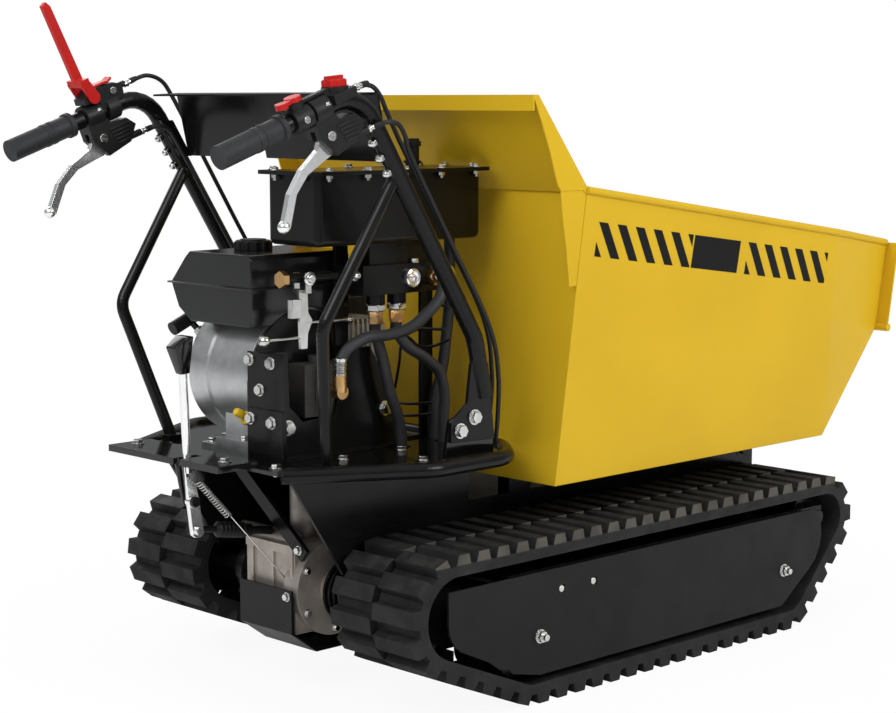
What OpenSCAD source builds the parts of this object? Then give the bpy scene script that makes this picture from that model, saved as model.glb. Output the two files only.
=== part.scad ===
// Tracked power carrier: two rubber tracks, a forward-tipping skip, an engine deck and walk-behind handles.
// x runs forward from the rear ground contact of the tracks, y runs to the left and z up, in millimetres.
// Every part is then moved back by middle_x, so that the origin lies under the middle of the carrier.

/* [Tracks] */
// Width over both tracks
width_over_tracks = 700; // [692:2:712]
// Width of one rubber belt
belt_w = 180; // [174:2:182]
// Thickness of the belt without its lugs
belt_t = 16; // [14:1:17]
// Height of the tread lugs
lug_h = 16; // [12:1:18]
// Number of lugs in one row around a belt
lug_count = 56; // [50:1:58]
// Width of one row of lugs
lug_row_w = 88; // [80:1:89]
// Lug length along the belt, at its foot
lug_foot_l = 30; // [24:1:32]
// Lug length along the belt, at its tip
lug_tip_l = 21; // [14:1:23]
// Height of the drive sprocket's axis
sprocket_z = 164; // [162:1:166]
// Belt radius on the drive sprocket, to the foot of the lugs
sprocket_belt_r = 79; // [77:1:80]
// Belt radius on the front idler, to the foot of the lugs
idler_belt_r = 60; // [58:1:62]
// Belt radius on the ground rollers, to the foot of the lugs
roller_belt_r = 53; // [51:1:54]
// Distance between the first and the last ground roller
contact_l = 649; // [640:1:655]

/* [Skip] */
// Half width of the skip floor
skip_floor_half = 300; // [290:1:304]
// Half width of the skip at its rear rim
skip_rim_half = 328; // [322:1:334]
// Height of the skip floor
skip_floor_z = 320; // [316:1:326]
// Height of the rim at the rear corner
skip_rim_z = 781; // [770:1:790]
// Length of the flat floor
skip_floor_l = 703; // [690:1:715]
// Height of the raised rear panel's top edge
rear_panel_z = 926; // [910:1:940]
// Sheet thickness of the skip
skip_sheet = 3; // [3:0.5:5]
// Radius of the rolled rim
rim_r = 6; // [5:0.5:7]
// Height of the tipping hinge
hinge_z = 290; // [288:1:291]

/* [Deck] */
// Top face of the engine deck
deck_z = 380; // [378:1:384]
// Thickness of the deck sheet
deck_t = 6; // [5:1:8]
// Radius of the guard rail tube
rail_r = 12; // [10:0.5:13]
// Thickness of the rear bumper plate
bumper_t = 10; // [8:1:12]

/* [Handles] */
// Half distance between the handlebars
handle_y = 257; // [254:1:259]
// Radius of the handlebar tube
handle_r = 13.5; // [12.5:0.5:14]
// Radius of the brace tube
brace_r = 9.5; // [8:0.5:10]
// Slope of the grips, rising forwards
grip_slope = 19.8; // [18:0.1:22]
// Length of a grip from the tube's corner to its end
grip_reach = 266; // [260:1:272]
// Length of the rubber grip sleeve
grip_l = 116; // [108:1:118]
// Radius of the rubber grip
grip_r = 17; // [16:0.5:18]

/* [Engine] */
// Distance of the crankshaft behind the rear ground contact
crank_back = 195; // [193:1:197]
// Height of the crankshaft
crank_z = 500; // [498:1:504]
// Radius of the engine's fan drum
drum_r = 104; // [100:1:105]
// Height of the fuel tank's underside
fuel_z = 606; // [605:1:608]

/* [Hydraulics] */
// Length of the oil tank
tank_l = 339; // [330:1:342]
// Width of the oil tank
tank_w = 117; // [112:1:120]
// Height of the oil tank without its lid
tank_h = 106; // [100:1:110]
// Height of the oil tank's underside
tank_z = 702; // [701:1:706]
// Tipping angle of the skip at full stroke
tip_angle = 55; // [50:1:55]
// Distance of both cylinder pivots from the tipping hinge
cylinder_arm = 169; // [166:1:170]
// Length of the cylinder when closed
cylinder_l = 214; // [210:1:216]

/* [Hidden] */
$fn = 48;
fit = 0.05;
tube_sides = 24;
gap = 0.3;
half_w = width_over_tracks / 2;
belt_y = half_w - belt_w / 2;
belt_in_y = half_w - belt_w;

// Shop colours
black_coat = [0.09, 0.09, 0.09];
rubber = [0.16, 0.17, 0.18];
yellow = [0.86, 0.68, 0.12];
red = [0.79, 0.12, 0.11];
chrome = [0.82, 0.82, 0.83];
zinc = [0.72, 0.72, 0.70];
alloy = [0.70, 0.71, 0.72];
casting = [0.52, 0.48, 0.44];
brass = [0.76, 0.55, 0.33];

// Track wheels: x, z and belt radius, in the order that the belt meets them from the rear
tip_out = belt_t + lug_h;
ground_z = roller_belt_r + lug_h;
sprocket_x = -153;
idler_x = 754;
idler_z = sprocket_z + sprocket_belt_r - idler_belt_r;
roller_x0 = 8;
roller_xs = [for (i = [0 : 2]) roller_x0 + i * contact_l / 2];
belt_wheels = [[sprocket_x, sprocket_z, sprocket_belt_r], [roller_xs[0], ground_z, roller_belt_r],
    [roller_xs[2], ground_z, roller_belt_r], [idler_x, idler_z, idler_belt_r]];
wheel_clear = 0.5;
sprocket_r = sprocket_belt_r - belt_t - wheel_clear;
idler_r = idler_belt_r - belt_t - wheel_clear;
roller_r = roller_belt_r - belt_t - wheel_clear;
wheel_rim_in = 18;
wheel_rim_out = 50;
drive_shaft_r = 16;
idler_axle_r = 12;
roller_axle_r = 10;
horn_w = 24;
horn_h = 17;
horn_count = 28;

// Track frame and its cover plate, across the carrier
frame_t = 6;
frame_in_y = belt_in_y + 2;
skirt_t = 5;
skirt_y = half_w - 20 - skirt_t;
cover_t = 4;
cover_y = half_w - cover_t;
cover_stud_r = 5;
cover_studs = [[19, 106], [632, 109]];
cover_windows = [[68, 172], [141, 172]];
window_size = 13;

// Skip outline in side view
skip_rear_x = 104;
skip_bend_x = skip_rear_x + skip_floor_l;
rim_rear_x = 142;
nose_low = [1000, 500];
rim_fall = 0.1424;
nose_top_x = 1020;
bend_top_x = 809;
flare = (skip_rim_half - skip_floor_half) / (skip_rim_z - skip_floor_z);
nose_low_half = 278;
nose_top_half = 284;
nose_flange = 25;
nose_lip_r = 7;
panel_top_x = 33;
hinge_x = 770;
hinge_pin_r = 12;
hinge_lug_r = 22;
hinge_lug_y = 144;
hinge_lug_t = 8;

// Tipping cylinder: both pivots lie on one circle about the hinge, so the barrel turns half as far
eye_drop = 6;
eye_angle = 180 - asin(eye_drop / cylinder_arm);
cylinder_span = 2 * asin(cylinder_l / 2 / cylinder_arm);
rod_eye = [hinge_x + cylinder_arm * cos(eye_angle), hinge_z + cylinder_arm * sin(eye_angle)];
barrel_eye = [hinge_x + cylinder_arm * cos(eye_angle + cylinder_span),
    hinge_z + cylinder_arm * sin(eye_angle + cylinder_span)];
cylinder_tilt = atan2(rod_eye[1] - barrel_eye[1], rod_eye[0] - barrel_eye[0]);
barrel_l = 165;
barrel_r = 26;
barrel_bore_r = 20;
rod_r = 13;
eye_r = 15;
eye_half_w = 12;
eye_pin_r = 8;
eye_window_r = 18;

// Chassis sheet plates, across the carrier
chassis_y = 153;
chassis_t = 6;
beam_size = 60;
beam_xs = [50, 330, 580];
beam_z = 142;
chassis_top_z = 284;

// Handlebar corner points in side view
bar_foot = [-10, 470];
bar_knee = [-31, 562];
bar_corner = [-262, 931];
bar_bend_r = 60;
foot_bolts = [[-34, 440], [-64, 422]];
foot_bolt_r = 5;
foot_plate_t = 6;
ear_t = 6;
console_half = 240;

// Guard rail centre line in plan, left half from the rear
rail_path = [[-344, 176.8], [-150, 292], [8, 292], [74, 215], [74, 0]];
rail_bend_r = 60;
deck_bolts = [[-319, 133], [-197, 143], [-79, 145], [-26, 210], [-116, 233]];
deck_bolt_r = 4;
bumper_bolts = [[-372, 138], [-374, -82]];
bumper_x = [-408, -330];
bumper_y = [-110, 165];
shift_y = -10;
shift_foot = [-373, 276];
shift_bend = [-388, 372];
shift_top = [-396, 572];
shift_pivot = [-380.2, 322];
shift_pin_r = 4;
shift_rod_r = 6.5;
shift_rod_l = 144;
shift_slot = [44, 16, 50];

// Oil tank and its lid
tank_x0 = -249;
tank_y0 = -150;
tank_top_z = tank_z + tank_h;
lid_t = 6;
lid_out = 13;
lid_bolt_out = 6.5;
lid_bolt_r = 3;
lid_bolt_step = 76;
valve_pivot = [-244, 655];

// Farthest points of the carrier to the rear and to the front
grip_end_x = bar_corner[0] - grip_reach * cos(grip_slope) - grip_r * sin(grip_slope);
nose_end_x = nose_top_x + rim_r;
middle_x = (grip_end_x + nose_end_x) / 2;

// Placing helpers

module from_contact() {
    translate([-middle_x, 0, 0]) children();
}

module on_side(side) {
    if (side > 0) children();
    else mirror([0, 1, 0]) children();
}

// A side-view outline in x and z, as a sheet centred on y
module upright(t, y = 0) {
    translate([0, y, 0]) rotate([90, 0, 0]) linear_extrude(t, center = true) children();
}

// A round bar across the carrier, between two y values
module cross_bar(p, r, y0, y1) {
    translate([p[0], y0, p[1]]) rotate([-90, 0, 0]) cylinder(r = r, h = y1 - y0);
}

module box(x, y, z) {
    translate([x[0], y[0], z[0]]) cube([x[1] - x[0], y[1] - y[0], z[1] - z[0]]);
}

module rounded_rect(start, size, r) {
    for (x = [r, size[0] - r], y = [r, size[1] - r]) translate(start + [x, y]) circle(r);
    translate(start + [r, 0]) square(size - [2 * r, 0]);
    translate(start + [0, r]) square(size - [0, 2 * r]);
}

// The grip's own frame: x runs forwards along the grip from the tube's corner, z away from it
module on_grip(side, along = 0) {
    translate([bar_corner[0], side * handle_y, bar_corner[1]])
        rotate([0, -grip_slope, 0]) translate([along, 0, 0]) children();
}

// Vectors and bent tubes

function unit(v) = v / norm(v);

function turn_at(p, i) = acos(min(1, unit(p[i] - p[i - 1]) * unit(p[i + 1] - p[i])));

module straight(a, b, r) {
    d = unit(b - a);
    side = unit(abs(d[2]) < 0.9 ? cross([0, 0, 1], d) : cross([0, 1, 0], d));
    up = cross(d, side);
    multmatrix([[side[0], up[0], d[0], a[0]], [side[1], up[1], d[1], a[1]], [side[2], up[2], d[2], a[2]],
        [0, 0, 0, 1]]) cylinder(r = r, h = norm(b - a));
}

// One rounded corner of a bent path, or the corner of a line at a distance inside it
function inset_bend(p, i, bend_r, inset, steps = 6) =
    let (u = unit(p[i] - p[i - 1]), v = unit(p[i + 1] - p[i]), n = unit(v - (u * v) * u),
        cut = bend_r * tan(turn_at(p, i) / 2), c = p[i] - u * cut + n * bend_r, turn = turn_at(p, i))
    [for (k = [0 : steps]) let (a = turn * k / steps) c + (bend_r - inset) * (-n * cos(a) + u * sin(a))];

// A bent path with every inner corner rounded
function bent_path(p, bend_r) = concat([p[0]],
    [for (i = [1 : len(p) - 2]) each inset_bend(p, i, bend_r, 0)], [p[len(p) - 1]]);

// A soft tube runs smoothly through hand-picked points
function smooth_at(p, i, t) =
    let (a = p[max(i - 1, 0)], b = p[i], c = p[i + 1], d = p[min(i + 2, len(p) - 1)])
    0.5 * (2 * b + (c - a) * t + (2 * a - 5 * b + 4 * c - d) * t * t + (3 * b - 3 * c + d - a) * t * t * t);

function smooth_path(p, steps) = concat(
    [for (i = [0 : len(p) - 2], k = [0 : steps - 1]) smooth_at(p, i, k / steps)], [p[len(p) - 1]]);

function path_way(q, i) = unit(q[min(i + 1, len(q) - 1)] - q[max(i - 1, 0)]);

function next_side(side, way) = unit(side - (side * way) * way);

function path_sides(q, i, side) = i == len(q) ? [] :
    let (s = next_side(side, path_way(q, i))) concat([s], path_sides(q, i + 1, s));

module sweep(q, r, sides, first_side) {
    s = path_sides(q, 0, first_side);
    n = len(q);
    points = [for (i = [0 : n - 1], k = [0 : sides - 1])
        let (a = 360 * k / sides, w = cross(path_way(q, i), s[i])) q[i] + r * (cos(a) * s[i] + sin(a) * w)];
    walls = [for (i = [0 : n - 2], k = [0 : sides - 1], half = [0, 1])
        let (a = i * sides + k, b = i * sides + (k + 1) % sides)
        half == 0 ? [a, a + sides, b] : [b, a + sides, b + sides]];
    start = [for (k = [1 : sides - 2]) [0, k, k + 1]];
    end = [for (k = [1 : sides - 2]) [(n - 1) * sides, (n - 1) * sides + k + 1, (n - 1) * sides + k]];
    polyhedron(points, concat(walls, start, end));
}

// A ball of turned rings, with small flats at its poles on z
module ball(r) {
    rings = 14;
    pole = r * cos(180 / rings);
    rotate_extrude() polygon(concat([[0, -pole]],
        [for (k = [1 : rings - 1]) r * [sin(180 * k / rings), -cos(180 * k / rings)]], [[0, pole]]));
}

// Fasteners along +z from the face that they sit on

module hex_bolt(r, shank_l) {
    washer_t = 0.4 * r;
    cylinder(r = 2.4 * r, h = washer_t);
    translate([0, 0, washer_t]) cylinder(r = 1.9 * r, h = 1.3 * r, $fn = 6);
    if (shank_l > 0) translate([0, 0, -shank_l]) cylinder(r = r, h = shank_l + 1);
}

module acorn_nut(r) {
    cylinder(r = r, h = 0.8 * r, $fn = 6);
    translate([0, 0, 0.8 * r]) difference() {
        sphere(0.8 * r);
        translate([0, 0, -r]) cube(2 * r, center = true);
    }
}

// Belt loop around the track wheels

function grown(w, d) = [for (c = w) [c[0], c[1], c[2] + d]];

function loop_next(w, i) = w[(i + 1) % len(w)];

function centre_gap(a, b) = norm([b[0] - a[0], b[1] - a[1]]);

// Direction from a wheel's axis to the point where the belt leaves it
function leave_angle(w, i) = let (a = w[i % len(w)], b = loop_next(w, i % len(w)))
    atan2(b[1] - a[1], b[0] - a[0]) - 90 + asin((a[2] - b[2]) / centre_gap(a, b));

function run_length(w, i) = let (a = w[i], b = loop_next(w, i))
    sqrt(pow(centre_gap(a, b), 2) - pow(a[2] - b[2], 2));

function wrap_angle(w, i) = let (d = leave_angle(w, i + 1) - leave_angle(w, i)) d - 360 * floor(d / 360);

function wrap_length(w, i) = loop_next(w, i)[2] * wrap_angle(w, i) * PI / 180;

function loop_length(w, i = 0) =
    i == len(w) ? 0 : run_length(w, i) + wrap_length(w, i) + loop_length(w, i + 1);

// Point and outward direction at a length s around the loop
function loop_at(w, s, i = 0) = let (j = i % len(w), run = run_length(w, j), wrap = wrap_length(w, j))
    s > run + wrap ? loop_at(w, s - run - wrap, i + 1) :
    let (c = s <= run ? w[j] : loop_next(w, j),
        a = leave_angle(w, j) + (s <= run ? 0 : (s - run) / wrap * wrap_angle(w, j)),
        n = [cos(a), sin(a)], along = s <= run ? s : 0)
    [[c[0], c[1]] + c[2] * n + along * [-n[1], n[0]], n];

module loop_outline(w) {
    step = 6;
    polygon([for (i = [0 : len(w) - 1])
        let (c = loop_next(w, i), wrap = wrap_angle(w, i), steps = ceil(wrap / step))
        for (k = [0 : steps])
            let (a = leave_angle(w, i) + wrap * k / steps) [c[0], c[1]] + c[2] * [cos(a), sin(a)]]);
}

function tooth_row(w, count, shift, foot_l, tip_l, sink, h) =
    let (pitch = loop_length(w) / count)
    [for (j = [1 : count], k = [[-foot_l, -sink], [-tip_l, h], [tip_l, h], [foot_l, -sink]])
        let (q = loop_at(w, (j + shift) * pitch + k[0] / 2)) q[0] + k[1] * q[1]];

// Running gear

module track(side) {
    sink = 1;
    inner = grown(belt_wheels, -belt_t);
    horn_foot_l = 34;
    horn_tip_l = 20;
    horns = tooth_row(inner, horn_count, 0, horn_foot_l, horn_tip_l, -sink, -horn_h);
    color(rubber) from_contact() on_side(side) {
        upright(belt_w, belt_y) difference() {
            loop_outline(belt_wheels);
            loop_outline(inner);
        }
        for (row = [0, 1]) upright(lug_row_w, belt_y + (row - 0.5) * (belt_w - lug_row_w)) difference() {
            polygon(tooth_row(belt_wheels, lug_count, row / 2, lug_foot_l, lug_tip_l, sink, lug_h));
            loop_outline(grown(belt_wheels, -2 * sink));
        }
        for (j = [0 : horn_count - 1]) upright(horn_w, belt_y)
            polygon([for (k = [0 : 3]) horns[4 * j + k]]);
    }
}

module track_left() { track(1); }
module track_right() { track(-1); }

module sprocket(side) {
    tooth_count = 9;
    tooth_gap_r = 9;
    hub_r = 38;
    shaft_end_y = 80;
    color(black_coat) from_contact() on_side(side) {
        for (disc = [-1, 1]) upright(16, belt_y + disc * 26)
            translate([sprocket_x, sprocket_z]) difference() {
                circle(sprocket_r);
                for (a = [0 : 360 / tooth_count : 359])
                    rotate(a) translate([sprocket_r, 0]) circle(tooth_gap_r);
            }
        cross_bar([sprocket_x, sprocket_z], hub_r, belt_y - wheel_rim_out, belt_y + wheel_rim_out);
        cross_bar([sprocket_x, sprocket_z], drive_shaft_r, shaft_end_y, belt_y);
    }
}

module sprocket_left() { sprocket(1); }
module sprocket_right() { sprocket(-1); }

// A free wheel of two rims on a hub that leaves room for the guide horns
module rim_wheel(p, r, hub_r, axle_r) {
    difference() {
        union() {
            for (rim = [-1, 1])
                cross_bar(p, r, belt_y + (rim < 0 ? -wheel_rim_out : wheel_rim_in),
                    belt_y + (rim < 0 ? -wheel_rim_in : wheel_rim_out));
            cross_bar(p, hub_r, belt_y - wheel_rim_out - 6, belt_y + wheel_rim_out + 6);
        }
        cross_bar(p, axle_r + fit, 0, half_w);
    }
}

module idler(side) {
    color(black_coat) from_contact() on_side(side) rim_wheel([idler_x, idler_z], idler_r, 22, idler_axle_r);
}

module idler_left() { idler(1); }
module idler_right() { idler(-1); }

module roller(side, i) {
    color(black_coat) from_contact() on_side(side)
        rim_wheel([roller_xs[i], ground_z], roller_r, 15, roller_axle_r);
}

module roller_left_rear() { roller(1, 0); }
module roller_left_middle() { roller(1, 1); }
module roller_left_front() { roller(1, 2); }
module roller_right_rear() { roller(-1, 0); }
module roller_right_middle() { roller(-1, 1); }
module roller_right_front() { roller(-1, 2); }

module track_frame(side) {
    plate = [[-30, 58], [690, 58], [768, 168], [768, 203], [-30, 203]];
    beam_x = [-30, 690];
    beam_height = [120, 192];
    wall = 5;
    spacer_r = 10;
    axle_end_y = skirt_y + skirt_t + 6;
    color(black_coat) from_contact() on_side(side) {
        upright(frame_t, frame_in_y + frame_t / 2) polygon(plate);
        upright(skirt_t, skirt_y + skirt_t / 2) polygon(plate);
        difference() {
            box(beam_x, [frame_in_y + 1, skirt_y + 1], beam_height);
            box([beam_x[0] - 1, beam_x[1] + 1], [frame_in_y + frame_t, skirt_y], beam_height + [wall, -wall]);
        }
        for (x = roller_xs) cross_bar([x, ground_z], roller_axle_r, frame_in_y + 1, axle_end_y);
        cross_bar([idler_x, idler_z], idler_axle_r, frame_in_y + 1, axle_end_y);
        for (p = cover_studs) cross_bar(p, spacer_r, skirt_y + 1, cover_y);
    }
}

module track_frame_left() { track_frame(1); }
module track_frame_right() { track_frame(-1); }

module side_plate(side) {
    rear_arc = [-124, 156, 50];
    front_arc = [672, 160, 70];
    top_z = 206;
    outline = concat([[-174, top_z]],
        [for (a = [180 : 15 : 240]) [rear_arc[0], rear_arc[1]] + rear_arc[2] * [cos(a), sin(a)]],
        [[-91, 86], [-68, 70], [-48, 66], [-40, 58], [19, 45], [630, 46]],
        [for (a = [-60 : 20 : 40]) [front_arc[0], front_arc[1]] + front_arc[2] * [cos(a), sin(a)]]);
    color(black_coat) from_contact() on_side(side) upright(cover_t, cover_y + cover_t / 2) difference() {
        polygon(outline);
        for (p = cover_studs) translate(p) circle(cover_stud_r + gap);
        for (p = cover_windows) translate(p) square(window_size, center = true);
    }
}

module side_plate_left() { side_plate(1); }
module side_plate_right() { side_plate(-1); }

// Chassis, hinge and tipping gear

module chassis_side() {
    outline = [[-318, deck_z - deck_t], [58, deck_z - deck_t], [58, chassis_top_z], [742, chassis_top_z],
        [752, 262], [792, 262], [792, 210], [700, 112], [-40, 112], [-100, 205], [-208, 205]];
    difference() {
        union() {
            polygon(outline);
            translate([hinge_x, hinge_z]) circle(hinge_lug_r);
            translate([hinge_x - hinge_lug_r, 250]) square([2 * hinge_lug_r, hinge_z - 250]);
        }
        translate([hinge_x, hinge_z]) circle(hinge_pin_r + fit);
    }
}

clevis_y = 34;

// One side plate with its skip rest and the clevis plate of the tipping cylinder
module chassis_half(side) {
    rest_x = [150, 200];
    rest_half = [130, chassis_y + chassis_t / 2];
    clevis_t = 8;
    clevis = [[600, 112], [barrel_eye[0], barrel_eye[1] - 18], [barrel_eye[0] + 18, barrel_eye[1]],
        [barrel_eye[0], barrel_eye[1] + 18], [600, 170]];
    upright(chassis_t, side * chassis_y) chassis_side();
    upright(clevis_t, side * clevis_y) polygon(clevis);
    on_side(side) box(rest_x, rest_half, [chassis_top_z - 20, skip_floor_z - gap]);
}

module chassis_frame() {
    beam_bore = 48;
    deck_beam_x = [-20, 60];
    color(black_coat) from_contact() difference() {
        union() {
            for (side = [-1, 1]) chassis_half(side);
            for (x = beam_xs) box([x - beam_size / 2, x + beam_size / 2], [-frame_in_y, frame_in_y],
                [beam_z - beam_size / 2, beam_z + beam_size / 2]);
            box(deck_beam_x, [-chassis_y, chassis_y], [chassis_top_z - 6, chassis_top_z + 50]);
            box([59, 420], [-chassis_y, chassis_y], [chassis_top_z - 6, chassis_top_z]);
            cross_bar(barrel_eye, eye_pin_r, -clevis_y - 8, clevis_y + 8);
        }
        for (x = beam_xs) translate([x, 0, beam_z])
            cube([beam_bore, width_over_tracks, beam_bore], center = true);
    }
}

module hinge_pin() {
    head_r = 18;
    head_t = 5;
    reach = chassis_y + chassis_t / 2 + gap;
    color(zinc) from_contact() {
        cross_bar([hinge_x, hinge_z], hinge_pin_r, -reach, reach);
        for (side = [-1, 1]) on_side(side) cross_bar([hinge_x, hinge_z], head_r, reach, reach + head_t);
    }
}

// Cylinder parts lie along +z from the barrel's pivot
module on_cylinder() {
    translate([barrel_eye[0], 0, barrel_eye[1]]) rotate([0, 90 - cylinder_tilt, 0]) children();
}

module cylinder_barrel() {
    base_z = 10;
    bore_z = [34, barrel_l - 12];
    color(black_coat) from_contact() on_cylinder() difference() {
        union() {
            translate([0, 0, base_z]) cylinder(r = barrel_r, h = barrel_l - base_z);
            rotate([90, 0, 0]) cylinder(r = eye_r + 3, h = 4 * eye_half_w, center = true);
        }
        rotate([90, 0, 0]) cylinder(r = eye_pin_r + fit, h = 6 * eye_half_w, center = true);
        translate([0, 0, bore_z[0]]) cylinder(r = barrel_bore_r, h = bore_z[1] - bore_z[0]);
        translate([0, 0, bore_z[0]]) cylinder(r = rod_r + fit, h = barrel_l);
    }
}

module cylinder_rod() {
    piston_z = 36;
    piston_t = 18;
    pin_half = 29;
    color(chrome) from_contact() on_cylinder() {
        translate([0, 0, piston_z]) cylinder(r = barrel_bore_r - fit, h = piston_t);
        translate([0, 0, piston_z + 1]) cylinder(r = rod_r, h = cylinder_l - piston_z - 8);
        translate([0, 0, cylinder_l]) rotate([90, 0, 0]) {
            cylinder(r = eye_r, h = 2 * eye_half_w, center = true);
            cylinder(r = eye_pin_r, h = 2 * pin_half, center = true);
        }
    }
}

function rim_z(x) = skip_rim_z - rim_fall * (x - rim_rear_x);

function wall_half(z) = skip_floor_half + flare * (z - skip_floor_z);

// Left-hand corners of the tub, moved in by a distance and up at the rim
function tub_corners(in, lift) = let (low_half = wall_half(skip_floor_z + in) - in) [
    [skip_rear_x + in, low_half, skip_floor_z + in],
    [skip_bend_x - 0.4 * in, low_half, skip_floor_z + in],
    [nose_low[0] - in, nose_low_half - in, nose_low[1] + in],
    [nose_top_x - in, nose_top_half - in, rim_z(nose_top_x) + lift],
    [bend_top_x, wall_half(rim_z(bend_top_x) + lift) - in, rim_z(bend_top_x) + lift],
    [rim_rear_x + in, wall_half(rim_z(rim_rear_x + in) + lift) - in, rim_z(rim_rear_x + in) + lift]];

module tub_solid(in, lift) {
    left = tub_corners(in, lift);
    right = [for (p = left) [p[0], -p[1], p[2]]];
    n = len(left);
    walls = [[0, 1, 4, 5], [1, 2, 4], [2, 3, 4]];
    polyhedron(concat(left, right), concat(walls,
        [for (w = walls) [for (i = [len(w) - 1 : -1 : 0]) w[i] + n]],
        [for (i = [0 : 2]) [i, i + n, i + 1 + n, i + 1]],
        [[5, 5 + n, n, 0], [5, 4, 3, 3 + n, 4 + n, 5 + n]]));
}

module skip_rim() {
    corner_r = 14;
    left = [[rim_rear_x, skip_rim_half], [bend_top_x, wall_half(rim_z(bend_top_x))],
        [nose_top_x, nose_top_half]];
    loop = concat(left, [for (i = [2 : -1 : 0]) [left[i][0], -left[i][1]]]);
    sweep(bent_path([for (p = loop) [p[0], p[1], rim_z(p[0])]], corner_r), rim_r, 16, [0, 1, 0]);
}

// The raised rear panel with its folded lip and the wing plates at its ends
module skip_rear_panel() {
    lip_h = 24;
    lip_t = 12;
    wing_tip = [114, 633];
    wing_waist = [86, 800];
    wing_inset = 1;
    panel = [[rim_rear_x, skip_rim_z - 4], [panel_top_x, rear_panel_z], [panel_top_x - lip_t, rear_panel_z],
        [panel_top_x - lip_t, rear_panel_z - lip_h], [panel_top_x - lip_t + skip_sheet, rear_panel_z - lip_h],
        [panel_top_x - lip_t + skip_sheet, rear_panel_z - skip_sheet],
        [panel_top_x - 2, rear_panel_z - skip_sheet], [rim_rear_x - 5, skip_rim_z - 4]];
    edge = [for (k = [0 : 6]) let (t = k / 6, a = [panel_top_x - lip_t, rear_panel_z])
        (1 - t) * (1 - t) * a + 2 * t * (1 - t) * wing_waist + t * t * wing_tip];
    lower = [for (p = edge) if (p[1] < skip_rim_z) p];
    upper = [for (p = edge) if (p[1] >= skip_rim_z) p];
    waist_x = lower[0][0] + (upper[len(upper) - 1][0] - lower[0][0]) * 0.5;
    upright(2 * skip_rim_half) polygon(panel);
    for (side = [-1, 1]) on_side(side) {
        upright(skip_sheet, skip_rim_half - skip_sheet / 2)
            polygon(concat([[panel_top_x, rear_panel_z]], upper,
                [[waist_x, skip_rim_z], [rim_rear_x + 4, skip_rim_z]]));
        translate([0, skip_rim_half - skip_sheet / 2 - wing_inset, skip_rim_z]) rotate([atan(-flare), 0, 0])
            upright(skip_sheet) translate([0, -skip_rim_z])
            polygon(concat([[rim_rear_x + 4, skip_rim_z + 0.5], [waist_x, skip_rim_z + 0.5]], lower,
                [[rim_rear_x - 6, wing_tip[1]]]));
    }
}

// The nose panel reaches past the cheeks as a flange and ends in a rolled lip
module skip_nose() {
    rise = rim_z(nose_top_x) - nose_low[1];
    lean = atan2(nose_top_x - nose_low[0], rise);
    panel_l = norm([nose_top_x - nose_low[0], rise]);
    low = nose_low_half + nose_flange;
    top = nose_top_half + nose_flange;
    sink = 1;
    translate([nose_low[0] - sink, 0, nose_low[1]]) rotate([0, lean, 0]) rotate([90, 0, 90])
        linear_extrude(skip_sheet) polygon([[-low, 0], [low, 0], [top, panel_l], [-top, panel_l]]);
    cross_bar([nose_low[0] + 2, nose_low[1]], nose_lip_r, -low - sink, low + sink);
}

module skip_lugs() {
    for (side = [-1, 1]) {
        upright(hinge_lug_t, side * hinge_lug_y) difference() {
            union() {
                translate([hinge_x, hinge_z]) circle(hinge_lug_r);
                translate([hinge_x - 30, hinge_z + 8]) square([60, skip_floor_z - hinge_z - 7]);
            }
            translate([hinge_x, hinge_z]) circle(hinge_pin_r + fit);
        }
        upright(hinge_lug_t, side * 20) difference() {
            union() {
                translate(rod_eye) circle(eye_window_r + 8);
                translate([rod_eye[0] - 30, rod_eye[1]]) square([60, skip_floor_z - rod_eye[1] + 1]);
            }
            translate(rod_eye) circle(eye_window_r);
        }
    }
}

module skip_tub() {
    color(yellow) from_contact() {
        difference() {
            tub_solid(0, 0);
            tub_solid(skip_sheet, 20);
        }
        skip_rim();
        skip_rear_panel();
        skip_nose();
        skip_lugs();
    }
}

// Gearbox and gear change

module gearbox_case() {
    body_x = [-222, -84];
    body_y = [-58, 60];
    body_z = [96, 232];
    rib_ys = [-56, -10, 40];
    rib_out = 4;
    round_r = 76;
    neck_y = [-98, 100];
    neck_r = 30;
    input_r = 26;
    drain = [-120, 112];
    drain_r = 9;
    color(casting) from_contact() difference() {
        union() {
            box(body_x, body_y, body_z);
            cross_bar([sprocket_x, sprocket_z], round_r, body_y[0] - 14, body_y[0] + 20);
            cross_bar([sprocket_x, sprocket_z], neck_r, neck_y[0], neck_y[1]);
            for (y = rib_ys)
                box([body_x[0] - rib_out, body_x[0] + 1], [y, y + 6], [body_z[0] + 50, body_z[1] - 6]);
            box([body_x[0] - rib_out, body_x[1]], [body_y[0] + 2, body_y[1] - 2],
                [body_z[1] - 10, body_z[1] + 4]);
            cross_bar([body_x[0] + 18, body_z[1] + 8], 13, body_y[0] + 20, body_y[1] + 30);
            translate([-150, 0, body_z[1]]) cylinder(r = input_r, h = deck_z - deck_t - body_z[1]);
            cross_bar(drain, drain_r, body_y[0] - 26, body_y[0] - 13);
        }
        for (side = [-1, 1]) on_side(side)
            cross_bar([sprocket_x, sprocket_z], drive_shaft_r + fit, 70, 130);
    }
}

module axle_caps() {
    fin_count = 4;
    fin_t = 4;
    fin_step = 8;
    cap_y = 100 + gap;
    color(black_coat) from_contact() for (side = [-1, 1]) on_side(side) difference() {
        union() {
            cross_bar([sprocket_x, sprocket_z], 36, cap_y, cap_y + fin_count * fin_step);
            for (i = [0 : fin_count - 1])
                let (fin_y = cap_y + i * fin_step)
                    cross_bar([sprocket_x, sprocket_z], 50 - 3 * i, fin_y, fin_y + fin_t);
        }
        cross_bar([sprocket_x, sprocket_z], drive_shaft_r + fit, 70, 160);
    }
}

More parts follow.
